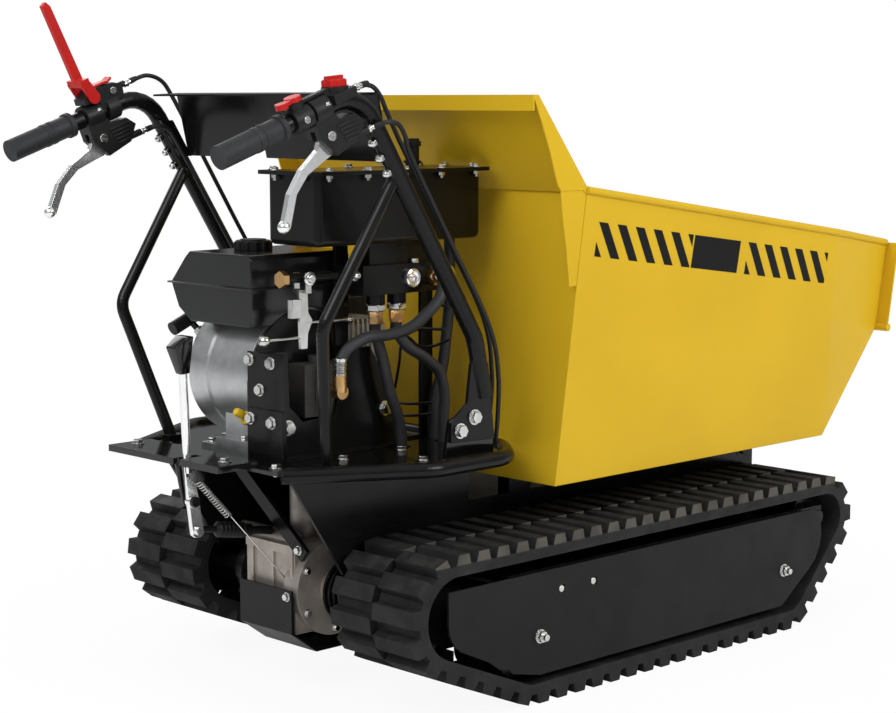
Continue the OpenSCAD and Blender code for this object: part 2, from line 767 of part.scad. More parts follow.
// A bent guard plate on a lug of the case, and a strap that hangs from the deck behind the case
module gearbox_guard() {
    sheet = 4;
    back_x = -240;
    back_z = [102, 170];
    floor_z = 66;
    y = [-70, 56];
    case_x = -222;
    profile = [[back_x, back_z[1]], [back_x, back_z[0]], [back_x + 50, floor_z], [-60, floor_z],
        [-60, floor_z + sheet], [back_x + 51, floor_z + sheet], [back_x + sheet, back_z[0] + 2],
        [back_x + sheet, back_z[1]]];
    strap_x = [-234, -226.3];
    strap_w = 22;
    strap_top = [104, deck_z - deck_t];
    strap_end = [-93, 227];
    strap_way = unit(strap_end - strap_top);
    strap_half = strap_w / 2 * [-strap_way[1], strap_way[0]];
    cut = [strap_w / 2 / strap_way[1], 0];
    color(black_coat) from_contact() {
        upright(y[1] - y[0], (y[0] + y[1]) / 2) polygon(profile);
        box([back_x + sheet - 1, case_x], [-38, -26], [140, 160]);
        translate([strap_x[0], 0, 0]) rotate([90, 0, 90]) linear_extrude(strap_x[1] - strap_x[0])
            polygon([strap_top + cut, strap_top - cut, strap_end + strap_half, strap_end - strap_half]);
    }
}

shift_way = unit([shift_top[0] - shift_bend[0], 0, shift_top[1] - shift_bend[1]]);
shift_elbow = [shift_bend[0], shift_y, shift_bend[1]];

// A flat bar on the pivot, with a bolt through its foot, carries the round rod of the knob
module shift_lever() {
    bar_t = 8;
    boss_t = 12;
    boss_r = 10;
    color(chrome) from_contact() {
        straight(shift_elbow - 6 * shift_way, shift_elbow + shift_rod_l * shift_way, shift_rod_r);
        upright(bar_t, shift_y) difference() {
            polygon([shift_foot + [-9, -6], shift_foot + [-4, -10], shift_foot + [6, -10],
                shift_foot + [11, -4], shift_bend + [8, 4], shift_bend + [-8, 4]]);
            translate(shift_pivot) circle(shift_pin_r + fit);
        }
        upright(boss_t, shift_y) translate(shift_pivot) difference() {
            circle(boss_r);
            circle(shift_pin_r + fit);
        }
        cross_bar(shift_foot, 6, shift_y - 9, shift_y + 7);
    }
}

module shift_knob() {
    lean = atan2(shift_way[0], shift_way[2]);
    color(black_coat) from_contact() translate(shift_elbow + (shift_rod_l + fit) * shift_way)
        rotate([0, lean, 0]) hull() {
            cylinder(r = 9, h = 2, $fn = 8);
            translate([0, 0, 40]) cylinder(r = 16, h = 2, $fn = 8);
            translate([0, 0, 56]) cylinder(r = 9, h = 2, $fn = 8);
        }
}

// The gear lever's return spring and its pull rod, as one tube
spring_from = [-384, -34, 356];
spring_to = [-326, -34, 294];
spring_turns = 16;
spring_r = 5;
spring_wire_r = 1.1;
spring_hook = 8;
spring_rod_l = 154;
spring_ring_count = 8;
spring_l = norm(spring_to - spring_from);
spring_points = concat([[0, 0, -spring_hook]],
    [for (i = [0 : spring_turns * spring_ring_count]) let (t = i / spring_ring_count)
        [spring_r * sin(360 * t), spring_r * (1 - cos(360 * t)), spring_l * t / spring_turns]],
    [[0, 0, spring_l + spring_rod_l]]);

// Least free space between points of a coil that lie some rings apart
function least_gap(q, wire_r, apart) =
    min([for (i = [0 : len(q) - 1 - apart], j = [i + apart : len(q) - 1]) norm(q[i] - q[j])]) - 2 * wire_r;

echo(spring_gap = least_gap(spring_points, spring_wire_r, spring_ring_count - 2));

module shift_spring() {
    d = spring_to - spring_from;
    color(zinc) from_contact() translate(spring_from) rotate([0, atan2(d[0], d[2]), 0])
        sweep(spring_points, spring_wire_r, 6, [1, 0, 0]);
}

// Deck

rail_cos = (rail_path[1] - rail_path[0])[0] / norm(rail_path[1] - rail_path[0]);

function rail_inner(inset) = concat([rail_path[0] + [4, -inset / rail_cos]],
    inset_bend(rail_path, 1, rail_bend_r, inset), inset_bend(rail_path, 2, rail_bend_r, inset),
    inset_bend(rail_path, 3, rail_bend_r, inset));

module deck_plate() {
    half = rail_inner(rail_r + gap);
    cable_hole_r = 14;
    hose_holes = [[30, -126], [44, -88], [-56, -124]];
    ear = [[-90, deck_z - 1], [14, deck_z - 1], [10, 440], [-24, 458], [-80, 438]];
    color(black_coat) from_contact() {
        translate([0, 0, deck_z - deck_t]) linear_extrude(deck_t) difference() {
            polygon(concat(half, [for (i = [len(half) - 1 : -1 : 0]) [half[i][0], -half[i][1]]]));
            for (p = deck_bolts, side = [-1, 1]) translate([p[0], side * p[1]]) circle(deck_bolt_r + gap);
            for (p = hose_holes) translate(p) circle(cable_hole_r);
        }
        for (side = [-1, 1]) on_side(side) upright(ear_t, handle_y - 6) difference() {
            polygon(ear);
            for (p = foot_bolts) translate(p) circle(foot_bolt_r + gap);
        }
    }
}

module guard_rail() {
    left = [for (p = rail_path) [p[0], p[1], deck_z - deck_t / 2]];
    right = [for (i = [len(left) - 2 : -1 : 0]) [left[i][0], -left[i][1], left[i][2]]];
    color(black_coat) from_contact()
        sweep(bent_path(concat([for (i = [0 : len(left) - 2]) left[i]], right), rail_bend_r), rail_r,
            tube_sides, [0, 0, 1]);
}

module rear_bumper() {
    z = [deck_z, deck_z + bumper_t];
    ear_y = shift_y + 9;
    pin_head_r = 8;
    color(black_coat) from_contact() {
        difference() {
            box(bumper_x, bumper_y, z);
            translate([shift_bend[0], shift_y, deck_z]) cube(shift_slot, center = true);
            for (p = bumper_bolts) translate([p[0], p[1], 0]) cylinder(r = deck_bolt_r + gap, h = 500);
        }
        upright(4, ear_y) polygon([[-404, deck_z + 1], [-354, deck_z + 1], [-366, 314], [-390, 314]]);
        cross_bar(shift_pivot, shift_pin_r, shift_y - 9, ear_y + 4);
        cross_bar(shift_pivot, pin_head_r, shift_y - 10, shift_y - 6.5);
        translate([spring_from[0] - 8, spring_from[1] - 2, spring_from[2]])
            cube([16, 4, deck_z + 1 - spring_from[2]]);
    }
}

// Handlebars and controls

module handlebar(side) {
    brace_top = [-190, handle_y - 4, 806];
    brace_knee = [-324, 247, 597];
    brace_foot = [-270, 190, deck_z + 3];
    brace_bend_r = 40;
    tube_end = bar_corner - (grip_reach - 4) * [cos(grip_slope), sin(grip_slope)];
    points = [for (p = [bar_foot, bar_knee, bar_corner, tube_end]) [p[0], handle_y, p[1]]];
    pad_t = 8;
    plate = [[-82, 405], [10, 402], [-4, 520], [-26, 548], [-40, 520], [-48, 462], [-82, 436]];
    color(black_coat) from_contact() on_side(side) {
        sweep(bent_path(points, bar_bend_r), handle_r, tube_sides, [0, 1, 0]);
        upright(foot_plate_t, handle_y) difference() {
            polygon(plate);
            for (p = foot_bolts) translate(p) circle(foot_bolt_r + gap);
        }
        sweep(bent_path([brace_top, brace_knee, brace_foot], brace_bend_r), brace_r, 16, [0, 1, 0]);
        translate([brace_foot[0] - 14, brace_foot[1] - 14, deck_z]) cube([28, 20, 8]);
        upright(pad_t, console_half + pad_t / 2)
            polygon([[-206, 828], [-184, 828], [-220, 886], [-244, 886]]);
    }
}

module handlebar_left() { handlebar(1); }
module handlebar_right() { handlebar(-1); }

module console_panel() {
    notch_y = [40, 96];
    profile = [[-190, 829], [-212, 926], [-258, 924], [-258, 927], [-209.5, 929.5], [-187, 829]];
    color(black_coat) from_contact() difference() {
        upright(2 * console_half) polygon(profile);
        box([-240, -150], notch_y, [820, 842]);
    }
}

module grip(side) {
    start = -grip_reach + grip_l;
    ring_starts = [64, 76];
    collar_l = 8;
    color(rubber) from_contact() on_grip(side) difference() {
        union() {
            translate([-grip_reach, 0, 0]) rotate([0, 90, 0]) cylinder(r = grip_r, h = grip_l);
            for (x = ring_starts) translate([-grip_reach + x, 0, 0]) rotate([0, 90, 0])
                cylinder(r = grip_r + 0.8, h = 6);
            translate([start - collar_l, 0, 0]) rotate([0, 90, 0]) cylinder(r = grip_r + 2.5, h = collar_l);
        }
        translate([-grip_reach + 4, 0, 0]) rotate([0, 90, 0]) cylinder(r = handle_r + fit, h = grip_l);
    }
}

module grip_left() { grip(1); }
module grip_right() { grip(-1); }

// The left-hand perch sits farther back, and its lever stands closer to the grip
function perch_along(side) = side > 0 ? -110 : -82;

lever_pivot = [0, -37];
lever_pin_r = 3;
lever_t = 9;
clamp_r = handle_r + 6;

module perch(side) {
    body = [[-19, -7], [-18, -37], [2, -67], [48, -60], [66, -37], [52, -22], [24, -20.5], [15, -7]];
    body_t = 30;
    clamp_x = [-16, 14];
    slot = [74, lever_t + 1, 50];
    socket = [46, -8, -54];
    color(black_coat) from_contact() on_grip(side, perch_along(side)) difference() {
        union() {
            translate([clamp_x[0], 0, 0]) rotate([0, 90, 0])
                cylinder(r = clamp_r, h = clamp_x[1] - clamp_x[0]);
            upright(body_t) polygon(body);
            translate(socket) rotate([0, 90, 0]) cylinder(r = 5.5, h = 28);
        }
        translate([-60, 0, 0]) rotate([0, 90, 0]) cylinder(r = handle_r + fit, h = 120);
        translate([-23, 0, -50]) cube(slot, center = true);
        cross_bar(lever_pivot, lever_pin_r + fit, -body_t, body_t);
    }
}

module perch_left() { perch(1); }
module perch_right() { perch(-1); }

// Hand lever about its pivot: a blade that is broad at its root, with a ball at its end
module hand_lever(side, lift) {
    blade = [[2, 8], [-8, 6], [-21, -13], [-59, -29], [-90, -52], [-116, -90], [-105, -97], [-78, -57],
        [-50, -39], [-14, -31], [3, -28], [8, -4]];
    tip = [-112, -92];
    pivot = [lever_pivot[0], 0, lever_pivot[1]];
    color(chrome) from_contact() on_grip(side, perch_along(side)) translate(pivot) {
        cross_bar([0, 0], lever_pin_r, -15, 15);
        rotate([0, lift, 0]) {
            upright(lever_t) polygon(blade);
            translate([tip[0], 0, tip[1]]) rotate([90, 0, 0]) ball(9);
        }
    }
}

module hand_lever_left() { hand_lever(1, 8); }
module hand_lever_right() { hand_lever(-1, 0); }

clutch_pivot = [-104, 28];

module clutch_bracket() {
    body_t = 28;
    clamp_x = [-84, -62];
    color(black_coat) from_contact() on_grip(1) difference() {
        union() {
            translate([clamp_x[0], 0, 0]) rotate([0, 90, 0])
                cylinder(r = clamp_r, h = clamp_x[1] - clamp_x[0]);
            upright(body_t) polygon([[-122, 20.2], [-95, 20.2], [-95, 4], [-66, 4], [-48, 14], [-46, 30],
                [-62, 38], [-104, 38], [-122, 30]]);
            translate([-47, 0, 26]) rotate([0, 90, 0]) cylinder(r = 5, h = 14);
        }
        translate([-200, 0, 0]) rotate([0, 90, 0]) cylinder(r = handle_r + fit, h = 200);
        cross_bar(clutch_pivot, lever_pin_r + fit, -body_t, body_t);
    }
}

module clutch_lever() {
    tip = [-127, 185];
    cheek_y = 17;
    cheek_r = 10;
    root = clutch_pivot + [-8, 26];
    color(red) from_contact() on_grip(1) {
        cross_bar(clutch_pivot, lever_pin_r, -cheek_y - 2, cheek_y + 2);
        for (edge = [-1, 1]) upright(4, edge * cheek_y) {
            translate(clutch_pivot) circle(cheek_r);
            polygon([clutch_pivot + [-cheek_r, 0], clutch_pivot + [cheek_r, 0], root + [8, 0],
                root + [-10, 0]]);
        }
        upright(2 * cheek_y + 4) translate(root + [-9, -5]) square([16, 11]);
        upright(8) polygon([root + [-9, 0], root + [7, 0], tip + [6, -4], tip + [0, 4], tip + [-8, 0]]);
    }
}

throttle_pivot = [-118, 26];
switch_h = 10;
switch_r = 19;

// The stop switch stands almost upright on the bend of the right grip's tube
module on_switch() {
    translate([-40, 4, 10]) rotate([0, 14, 0]) children();
}

module throttle_housing() {
    lead_l = 24;
    color(black_coat) from_contact() on_grip(-1) difference() {
        union() {
            translate([-134, 0, 0]) rotate([0, 90, 0]) cylinder(r = handle_r + 5, h = 32);
            translate([throttle_pivot[0], 0, 10]) cylinder(r = 13, h = throttle_pivot[1] - 10);
            box([-60, -18], [-18, 18], [0, 14]);
            on_switch() {
                cylinder(r = switch_r, h = switch_h);
                translate([switch_r - 3, 0, switch_h / 2]) rotate([0, 90, 0]) cylinder(r = 5, h = lead_l);
            }
            box([-112, -56], [-5, 5], [20, 24]);
            box([-66, -56], [-5, 5], [6, 24]);
        }
        translate([-200, 0, 0]) rotate([0, 90, 0]) cylinder(r = handle_r + fit, h = 220);
    }
}

module throttle_lever() {
    color(red) from_contact() on_grip(-1) translate([throttle_pivot[0], 0, throttle_pivot[1] + gap]) {
        cylinder(r = 12, h = 7);
        rotate(200) translate([0, -6, 1]) cube([34, 12, 5]);
        rotate(200) translate([32, 0, 0]) cylinder(r = 9, h = 8);
    }
}

module stop_knob() {
    ridge_count = 10;
    knob_r = 16;
    color(red) from_contact() on_grip(-1) on_switch() translate([0, 0, switch_h + gap]) {
        cylinder(r = knob_r, h = 10);
        for (a = [0 : 360 / ridge_count : 359])
            rotate(a) translate([knob_r - 0.5, 0, 0]) cylinder(r = 2.5, h = 9);
        translate([1 - knob_r, -3.5, 9]) cube([2 * knob_r - 2, 7, 6]);
    }
}

// Control cables: hand-picked points along their routes
cable_r = 3.5;
clutch_cable = [[-300, 257, 943.5], [-282, 257, 950.5], [-257, 257, 957], [-230, 257, 949], [-210, 257, 926],
    [-170, 257, 862], [-92, 257, 735], [-10, 257, 600], [22, 250, 500], [30, 240, 420], [30, 236, 385]];
left_brake_cable = [[-277.6, 249, 868], [-264, 245, 873], [-250, 236, 877], [-236, 233, 872],
    [-216, 232, 846], [-117, 232, 690], [-31, 232, 552], [-14, 232, 480], [-10, 230, 420], [-10, 228, 385]];
right_brake_cable = [[-251.2, -265, 877.5], [-244, -272, 881], [-226, -278, 887], [-206, -278, 884],
    [-189, -274, 868], [-170, -268, 836], [-92, -265, 715], [-8, -265, 580], [20, -258, 500], [30, -246, 420],
    [30, -240, 385]];
stop_lead = [[-263.5, -253, 936], [-247, -252, 939.5], [-229, -251, 936.5], [-214, -250, 923],
    [-203, -250, 903], [-170, -250, 848], [-92, -250, 728], [-6, -250, 592], [24, -240, 500], [34, -224, 420],
    [34, -220, 385]];

module control_cables() {
    color(black_coat) from_contact()
        for (route = [clutch_cable, left_brake_cable, right_brake_cable, stop_lead])
            sweep(smooth_path(route, 3), cable_r, 8, [0, 1, 0]);
}

// Engine

fin_y = 33;

module engine_block() {
    y = [-46, 34];
    base_z = [deck_z, deck_z + 26];
    foot_z = crank_z - drum_r - 2;
    base_x = [-crank_back - 106, -crank_back + 106];
    head_x = [-crank_back + 80, -crank_back + 178];
    fin_count = 7;
    color(alloy) from_contact() {
        cross_bar([-crank_back, crank_z], drum_r, y[0], y[1]);
        box(base_x, y, base_z);
        box(base_x, [y[1] - 1, y[1] + 36], [deck_z, foot_z]);
        box([base_x[0] + 20, base_x[1] - 20], [y[0], y[1]], [base_z[1] - 1, crank_z]);
        box(head_x, [-40, 28], [crank_z - 66, crank_z + 66]);
        for (i = [0 : fin_count - 1]) box([head_x[0] + 26 + i * 10, head_x[0] + 30 + i * 10], [-44, fin_y],
            [crank_z - 76, crank_z + 76]);
        box([-118, -108], [-30, 20], [crank_z + 50, fuel_z - 26]);
    }
}

module recoil_housing() {
    y0 = 34;
    seam = [drum_r - 3, 18, 22];
    color(alloy) from_contact() {
        translate([-crank_back, y0, crank_z]) rotate([-90, 0, 0]) difference() {
            rotate_extrude() polygon([[0, 0], [drum_r, 0], [drum_r, seam[1] - 3], [seam[0], seam[1]],
                [seam[0], seam[2]], [drum_r, seam[2] + 3], [drum_r, 68], [drum_r - 10, 76], [0, 76]]);
            for (a = [0 : 30 : 359]) rotate(a) translate([52, 0, 68]) cylinder(r = 9, h = 20);
        }
        straight(starter_from - 60 * starter_way, starter_from, 8);
    }
}

starter_from = [-266, 122, 562];
starter_way = unit([-0.35, 0.75, 0.8]);

module starter_handle() {
    side = unit(cross([0, 1, 0], starter_way));
    grip_at = starter_from + 22 * starter_way;
    color(black_coat) from_contact() {
        straight(starter_from, starter_from + 26 * starter_way, 5);
        straight(grip_at - 34 * side, grip_at + 34 * side, 11);
    }
}

module muffler() {
    x = [-88, 24];
    y = [42, 140];
    z = [520, 600];
    color(black_coat) from_contact() {
        box(x, y, z);
        translate([x[1] - 1, y[1] - 30, z[0] + 30]) rotate([0, 90, 0]) cylinder(r = 12, h = 22);
        for (i = [0 : 4])
            box([x[0] + 12 + i * 22, x[0] + 24 + i * 22], [y[0] + 8, y[1] - 8], [z[1] - 1, z[1] + 4]);
        box([x[0] + 30, x[0] + 60], [fin_y, y[0] + 1], [z[0] + 12, z[0] + 40]);
    }
}

fuel_top_z = 688;

module fuel_tank() {
    x = [-302, -108];
    seam_z = 638;
    seam_t = 3;
    seam_out = 5;
    lower = [[-56, fuel_z - 26], [92, fuel_z - 26], [122, fuel_z - 6], [140, seam_z], [-60, seam_z]];
    upper = [[-60, seam_z], [140, seam_z], [104, 678], [92, fuel_top_z], [-50, fuel_top_z],
        [-58, fuel_top_z - 6]];
    color(black_coat) from_contact() difference() {
        union() {
            translate([x[0], 0, 0]) rotate([90, 0, 90]) linear_extrude(x[1] - x[0]) {
                polygon(lower);
                polygon(upper);
            }
            box([x[0] - seam_out, x[1] + seam_out], [-60 - seam_out, 140 + seam_out],
                [seam_z - seam_t / 2, seam_z + seam_t / 2]);
        }
        cross_bar([-crank_back, crank_z], drum_r + gap, -100, 120);
    }
}

module fuel_cap() {
    lobe_count = 12;
    lobe_r = 4;
    cap_r = 27;
    color(black_coat) from_contact() translate([-220, 38, fuel_top_z + gap]) {
        cylinder(r = cap_r, h = 15);
        for (a = [0 : 360 / lobe_count : 359])
            rotate(a) translate([cap_r - 1, 0, 0]) cylinder(r = lobe_r, h = 13);
        translate([0, 0, 14]) cylinder(r = cap_r - 7, h = 3);
    }
}

// Pump drive and hydraulics

bracket_x = -304;
bracket_y = [-136, -50];
bracket_bolts = [[-56, 534], [-106, 532], [-80, 490], [-62, 446], [-112, 444]];
bracket_side_bolts = [[-266, 430], [-70, 440]];

module pump_bracket() {
    sheet = 4;
    side_y = -95;
    top_z = 546;
    lower_x = bracket_x - sheet;
    profile = [[bracket_x, deck_z], [bracket_x, top_z], [-264, top_z], [-262, 462], [-236, 436], [-172, 440],
        [-152, 540], [-100, 540], [-58, 470], [-44, 400], [-44, deck_z]];
    post_xs = [-150, 30];
    post_w = 26;
    post_y = [-74, -68];
    shroud_y = -49.5;
    shroud_r = 101;
    shaft_hole = [-188, 480, 26];
    color(black_coat) from_contact() {
        box([bracket_x, bracket_x + sheet], bracket_y, [deck_z, top_z]);
        box([lower_x, bracket_x + 0.5], [bracket_y[0], bracket_y[1] - 4], [deck_z, 462]);
        upright(sheet, side_y) polygon(profile);
        upright(sheet, shroud_y) difference() {
            union() {
                translate([-crank_back, crank_z]) circle(shroud_r);
                translate([bracket_x + 1, deck_z])
                    square([shroud_r - crank_back - bracket_x - 1, crank_z - deck_z]);
            }
            translate([shaft_hole[0], shaft_hole[1]]) circle(shaft_hole[2]);
        }
        box([bracket_x, -44], [side_y - 16, post_y[1]], [deck_z, deck_z + sheet]);
        box([-45, post_xs[1] + post_w], post_y, [deck_z, deck_z + sheet]);
        for (x = post_xs) box([x, x + post_w], post_y, [deck_z, tank_z]);
        for (x = post_xs) box([x, x + post_w], [post_y[0] - 18, post_y[1]], [tank_z - sheet, tank_z]);
    }
}

module hydraulic_pump() {
    color(alloy) from_contact() {
        box([-226, -150], [-90, -52], [440, 520]);
        cross_bar([-188, 480], 24, -53, -47);
        box([-206, -170], [-92.5, -88], [462, 498]);
        translate([-188, -72, 519]) cylinder(r = 12, h = 12);
    }
}

module oil_tank() {
    edge_r = 10;
    x1 = tank_x0 + tank_l;
    y1 = tank_y0 + tank_w;
    color(black_coat) from_contact() hull() {
        for (x = [tank_x0 + edge_r, x1 - edge_r], y = [tank_y0 + edge_r, y1 - edge_r]) {
            translate([x, y, tank_z + edge_r]) sphere(edge_r, $fn = 24);
            translate([x, y, tank_top_z - 1]) cylinder(r = edge_r, h = 1, $fn = 24);
        }
    }
}

// Bolt places around the tank lid
lid_x = [tank_x0 - lid_bolt_out, tank_x0 + tank_l + lid_bolt_out];
lid_y = [tank_y0 - lid_bolt_out, tank_y0 + tank_w + lid_bolt_out];
lid_bolts = concat([for (i = [0 : 4], y = lid_y) [lid_x[0] + 24 + i * lid_bolt_step, y]],
    [for (x = lid_x, y = [lid_y[0] + 34, lid_y[1] - 34]) [x, y]]);

module tank_lid() {
    corner_r = 12;
    filler = [-16, -104];
    color(black_coat) from_contact() {
        translate([0, 0, tank_top_z]) linear_extrude(lid_t) difference() {
            rounded_rect([tank_x0 - lid_out, tank_y0 - lid_out],
                [tank_l + 2 * lid_out, tank_w + 2 * lid_out], corner_r);
            for (p = lid_bolts) translate(p) circle(lid_bolt_r + gap);
        }
        translate([filler[0], filler[1], tank_top_z + lid_t - 1]) {
            cylinder(r = 11, h = 46);
            translate([0, 0, 34]) cylinder(r = 14, h = 8);
            translate([0, 0, 8]) cylinder(r = 14, h = 4);
        }
    }
}

valve_y = -108;
valve_fittings = [-98, -54];

module valve_block() {
    body_x = [-142, 18];
    color(black_coat) from_contact() difference() {
        union() {
            box(body_x, [valve_y - 22, valve_y + 22], [622, 668]);
            translate([body_x[0] - 136, valve_y, 655]) rotate([0, 90, 0]) cylinder(r = 7, h = 138);
            translate([body_x[0] - 30, valve_y, 655]) rotate([0, 90, 0]) cylinder(r = 15, h = 31);
            box([body_x[0] + 20, body_x[1] - 20], [valve_y - 14, valve_y + 14], [667, tank_z]);
            for (x = valve_fittings) translate([x, valve_y, 606]) cylinder(r = 15, h = 17);
        }
        cross_bar(valve_pivot, 3 + fit, valve_y - 30, valve_y + 30);
    }
}

module hose_fittings() {
    color(brass) from_contact() {
        for (x = valve_fittings) translate([x, valve_y, 576]) {
            cylinder(r = 9, h = 22);
            translate([0, 0, 19]) cylinder(r = 14, h = 11, $fn = 6);
        }
        cross_bar([4, 645], 14, valve_y - 34, valve_y - 22);
        cross_bar([-188, 480], 11, -134, -92.5);
        translate([-188, -126, 480]) cylinder(r = 11, h = 28);
        translate([-288, valve_y, 655]) rotate([0, 90, 0]) cylinder(r = 13, h = 10, $fn = 6);
    }
}

module valve_lever() {
    p = valve_pivot;
    grip_z = 566;
    ball_x = -318;
    color(zinc) from_contact() {
        translate([0, valve_y, 0]) upright(5) polygon([p + [-8, -18], p + [8, -18], p + [9, -52],
            p + [17, -64], p + [8, -84], p + [7, -106], p + [-6, -106], p + [-8, -50]]);
        for (y = [valve_y - 15, valve_y + 12]) box([p[0] - 5, p[0] + 5], [y, y + 3], [p[1] - 20, p[1] + 8]);
        box([p[0] - 5, p[0] + 5], [valve_y - 15, valve_y + 15], [p[1] - 22, p[1] - 17]);
        cross_bar(p, 3, valve_y - 15, valve_y + 15);
        straight([p[0], valve_y, grip_z], [ball_x, valve_y, grip_z], 2.5);
        translate([ball_x, valve_y, grip_z]) rotate([0, 90, 0]) ball(9);
    }
}

hose_r = 9;
pressure_hose = [[4, -142, 645], [4, -152, 645], [-16, -164, 612], [-62, -156, 574], [-100, -144, 562],
    [-140, -136, 560], [-172, -129, 545], [-186, -126.5, 525], [-188, -126, 506]];
tipping_hose = [[-54, -108, 576], [-54, -108, 562], [-38, -116, 536], [-8, -124, 516], [20, -126, 492],
    [32, -126, 456], [30, -126, 410], [30, -126, 360]];
suction_hose = [[76, -92, 702], [76, -92, 680], [74, -94, 600], [62, -92, 500], [46, -88, 430],
    [44, -88, 360]];
return_hose = [[-98, -108, 576], [-98, -108, 562], [-92, -118, 520], [-80, -120, 470], [-62, -122, 420],
    [-56, -124, 360]];

module hydraulic_hoses() {
    color(rubber) from_contact()
        for (route = [pressure_hose, tipping_hose, suction_hose, return_hose])
            sweep(smooth_path(route, 3), hose_r, 10, [0.1, 1, 0.1]);
}

// Every loose bolt and nut of the carrier, as separate pieces

module fasteners() {
    color(zinc) from_contact() {
        for (p = deck_bolts, side = [-1, 1]) translate([p[0], side * p[1], deck_z]) hex_bolt(deck_bolt_r, 12);
        for (p = bumper_bolts) translate([p[0], p[1], deck_z + bumper_t]) hex_bolt(deck_bolt_r + 0.1, 14);
        for (p = foot_bolts, side = [-1, 1]) on_side(side)
            translate([p[0], handle_y + foot_plate_t / 2, p[1]]) rotate([-90, 0, 0])
                hex_bolt(foot_bolt_r, 16);
        for (p = cover_studs, side = [-1, 1]) on_side(side) {
            translate([p[0], half_w, p[1]]) rotate([-90, 0, 0]) cylinder(r = 11, h = 2);
            translate([p[0], half_w + 2, p[1]]) rotate([-90, 0, 0]) cylinder(r = 9, h = 7, $fn = 6);
            cross_bar(p, cover_stud_r, cover_y, half_w + 16);
        }
        for (p = bracket_bolts) translate([bracket_x - (p[1] < 462 ? 4 : 0), p[0], p[1]]) rotate([0, -90, 0])
            hex_bolt(deck_bolt_r, 0);
        for (p = bracket_side_bolts)
            translate([p[0], -97, p[1]]) rotate([90, 0, 0]) hex_bolt(deck_bolt_r + 1, 0);
        for (p = lid_bolts) {
            translate([p[0], p[1], tank_top_z + lid_t]) hex_bolt(lid_bolt_r, lid_t + 9);
            translate([p[0], p[1], tank_top_z - 5]) cylinder(r = 5.5, h = 5, $fn = 6);
        }
        for (z = [866, 844, 822], side = [-1, 1]) {
            rise = (z - bar_knee[1]) / (bar_corner[1] - bar_knee[1]);
            tube_x = bar_knee[0] + (bar_corner[0] - bar_knee[0]) * rise;
            lean = atan2(bar_knee[0] - bar_corner[0], bar_corner[1] - bar_knee[1]);
            translate([tube_x, side * handle_y, z]) rotate([0, -lean - 90, 0])
                translate([0, 0, handle_r]) acorn_nut(7);
        }
    }
}

chassis_frame();
track_frame_left();
track_frame_right();
side_plate_left();
side_plate_right();
track_left();
track_right();
sprocket_left();
sprocket_right();
idler_left();
idler_right();
roller_left_rear();
roller_left_middle();
roller_left_front();
roller_right_rear();
roller_right_middle();
roller_right_front();
gearbox_case();
axle_caps();
gearbox_guard();
shift_lever();
shift_knob();
shift_spring();
deck_plate();
guard_rail();
rear_bumper();
handlebar_left();
handlebar_right();
console_panel();
grip_left();
grip_right();
perch_left();
perch_right();
hand_lever_left();
hand_lever_right();
clutch_bracket();
clutch_lever();
throttle_housing();
throttle_lever();
stop_knob();
control_cables();
engine_block();
recoil_housing();
starter_handle();
muffler();
fuel_tank();
fuel_cap();
pump_bracket();
hydraulic_pump();
oil_tank();
tank_lid();
valve_block();
hose_fittings();
valve_lever();
hydraulic_hoses();
cylinder_barrel();
cylinder_rod();
skip_tub();
hinge_pin();
fasteners();
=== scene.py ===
"""Looks of the tracked power carrier: camera, light, finishes, soft lines, stripes and small trim."""
import math

import bmesh
import bpy
from mathutils import Matrix, Vector


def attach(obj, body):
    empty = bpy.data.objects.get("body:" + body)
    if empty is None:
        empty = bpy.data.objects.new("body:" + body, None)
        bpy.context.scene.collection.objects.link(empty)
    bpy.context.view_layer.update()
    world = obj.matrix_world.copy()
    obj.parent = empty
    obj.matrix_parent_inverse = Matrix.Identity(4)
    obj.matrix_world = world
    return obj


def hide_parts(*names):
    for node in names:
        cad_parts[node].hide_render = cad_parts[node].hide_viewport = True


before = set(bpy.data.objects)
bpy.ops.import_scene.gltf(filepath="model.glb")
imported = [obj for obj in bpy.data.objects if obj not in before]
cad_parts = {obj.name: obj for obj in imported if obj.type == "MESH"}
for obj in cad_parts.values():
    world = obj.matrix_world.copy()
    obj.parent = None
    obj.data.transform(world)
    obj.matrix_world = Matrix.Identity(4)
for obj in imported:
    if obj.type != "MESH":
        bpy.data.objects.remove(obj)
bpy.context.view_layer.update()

MM = 0.001
# The source measures lengths from the rear ground contact, this far behind the frame's origin
MIDDLE_X = 253.98359


def at(x, y, z):
    """A point of the source, in millimetres, as a point of the frame, in metres."""
    return Vector(((x - MIDDLE_X) * MM, y * MM, z * MM))


# Camera, floor and light

CAMERA_AT = Vector((-2.43504, -2.42610, 0.918))
CAMERA_LOOK = Vector((0.68918, 0.71367, -0.12533))
PHOTO_WIDTH = 896
FOCAL_PIXELS = 2030
SENSOR = 36.0
FAR_CLIP = 100
GLOW_HEIGHT = 0.85
GLOW = (0.18, 0.78)
FILL_TINT = (0.97, 0.985, 1.0, 1)
FLOOR_HALF = 40
FLOOR_TONE = (0.86, 0.86, 0.86, 1)
SHADOW_REACH = (0.35, 1.5)
SHADOW_WHITE = (0.93, 1.0)


def make_camera():
    data = bpy.data.cameras.new("camera")
    data.sensor_width = SENSOR
    data.lens = FOCAL_PIXELS / PHOTO_WIDTH * SENSOR
    data.clip_end = FAR_CLIP
    camera = bpy.data.objects.new("camera", data)
    camera.location = CAMERA_AT
    camera.rotation_euler = CAMERA_LOOK.to_track_quat("-Z", "Y").to_euler()
    bpy.context.collection.objects.link(camera)
    bpy.context.scene.camera = camera


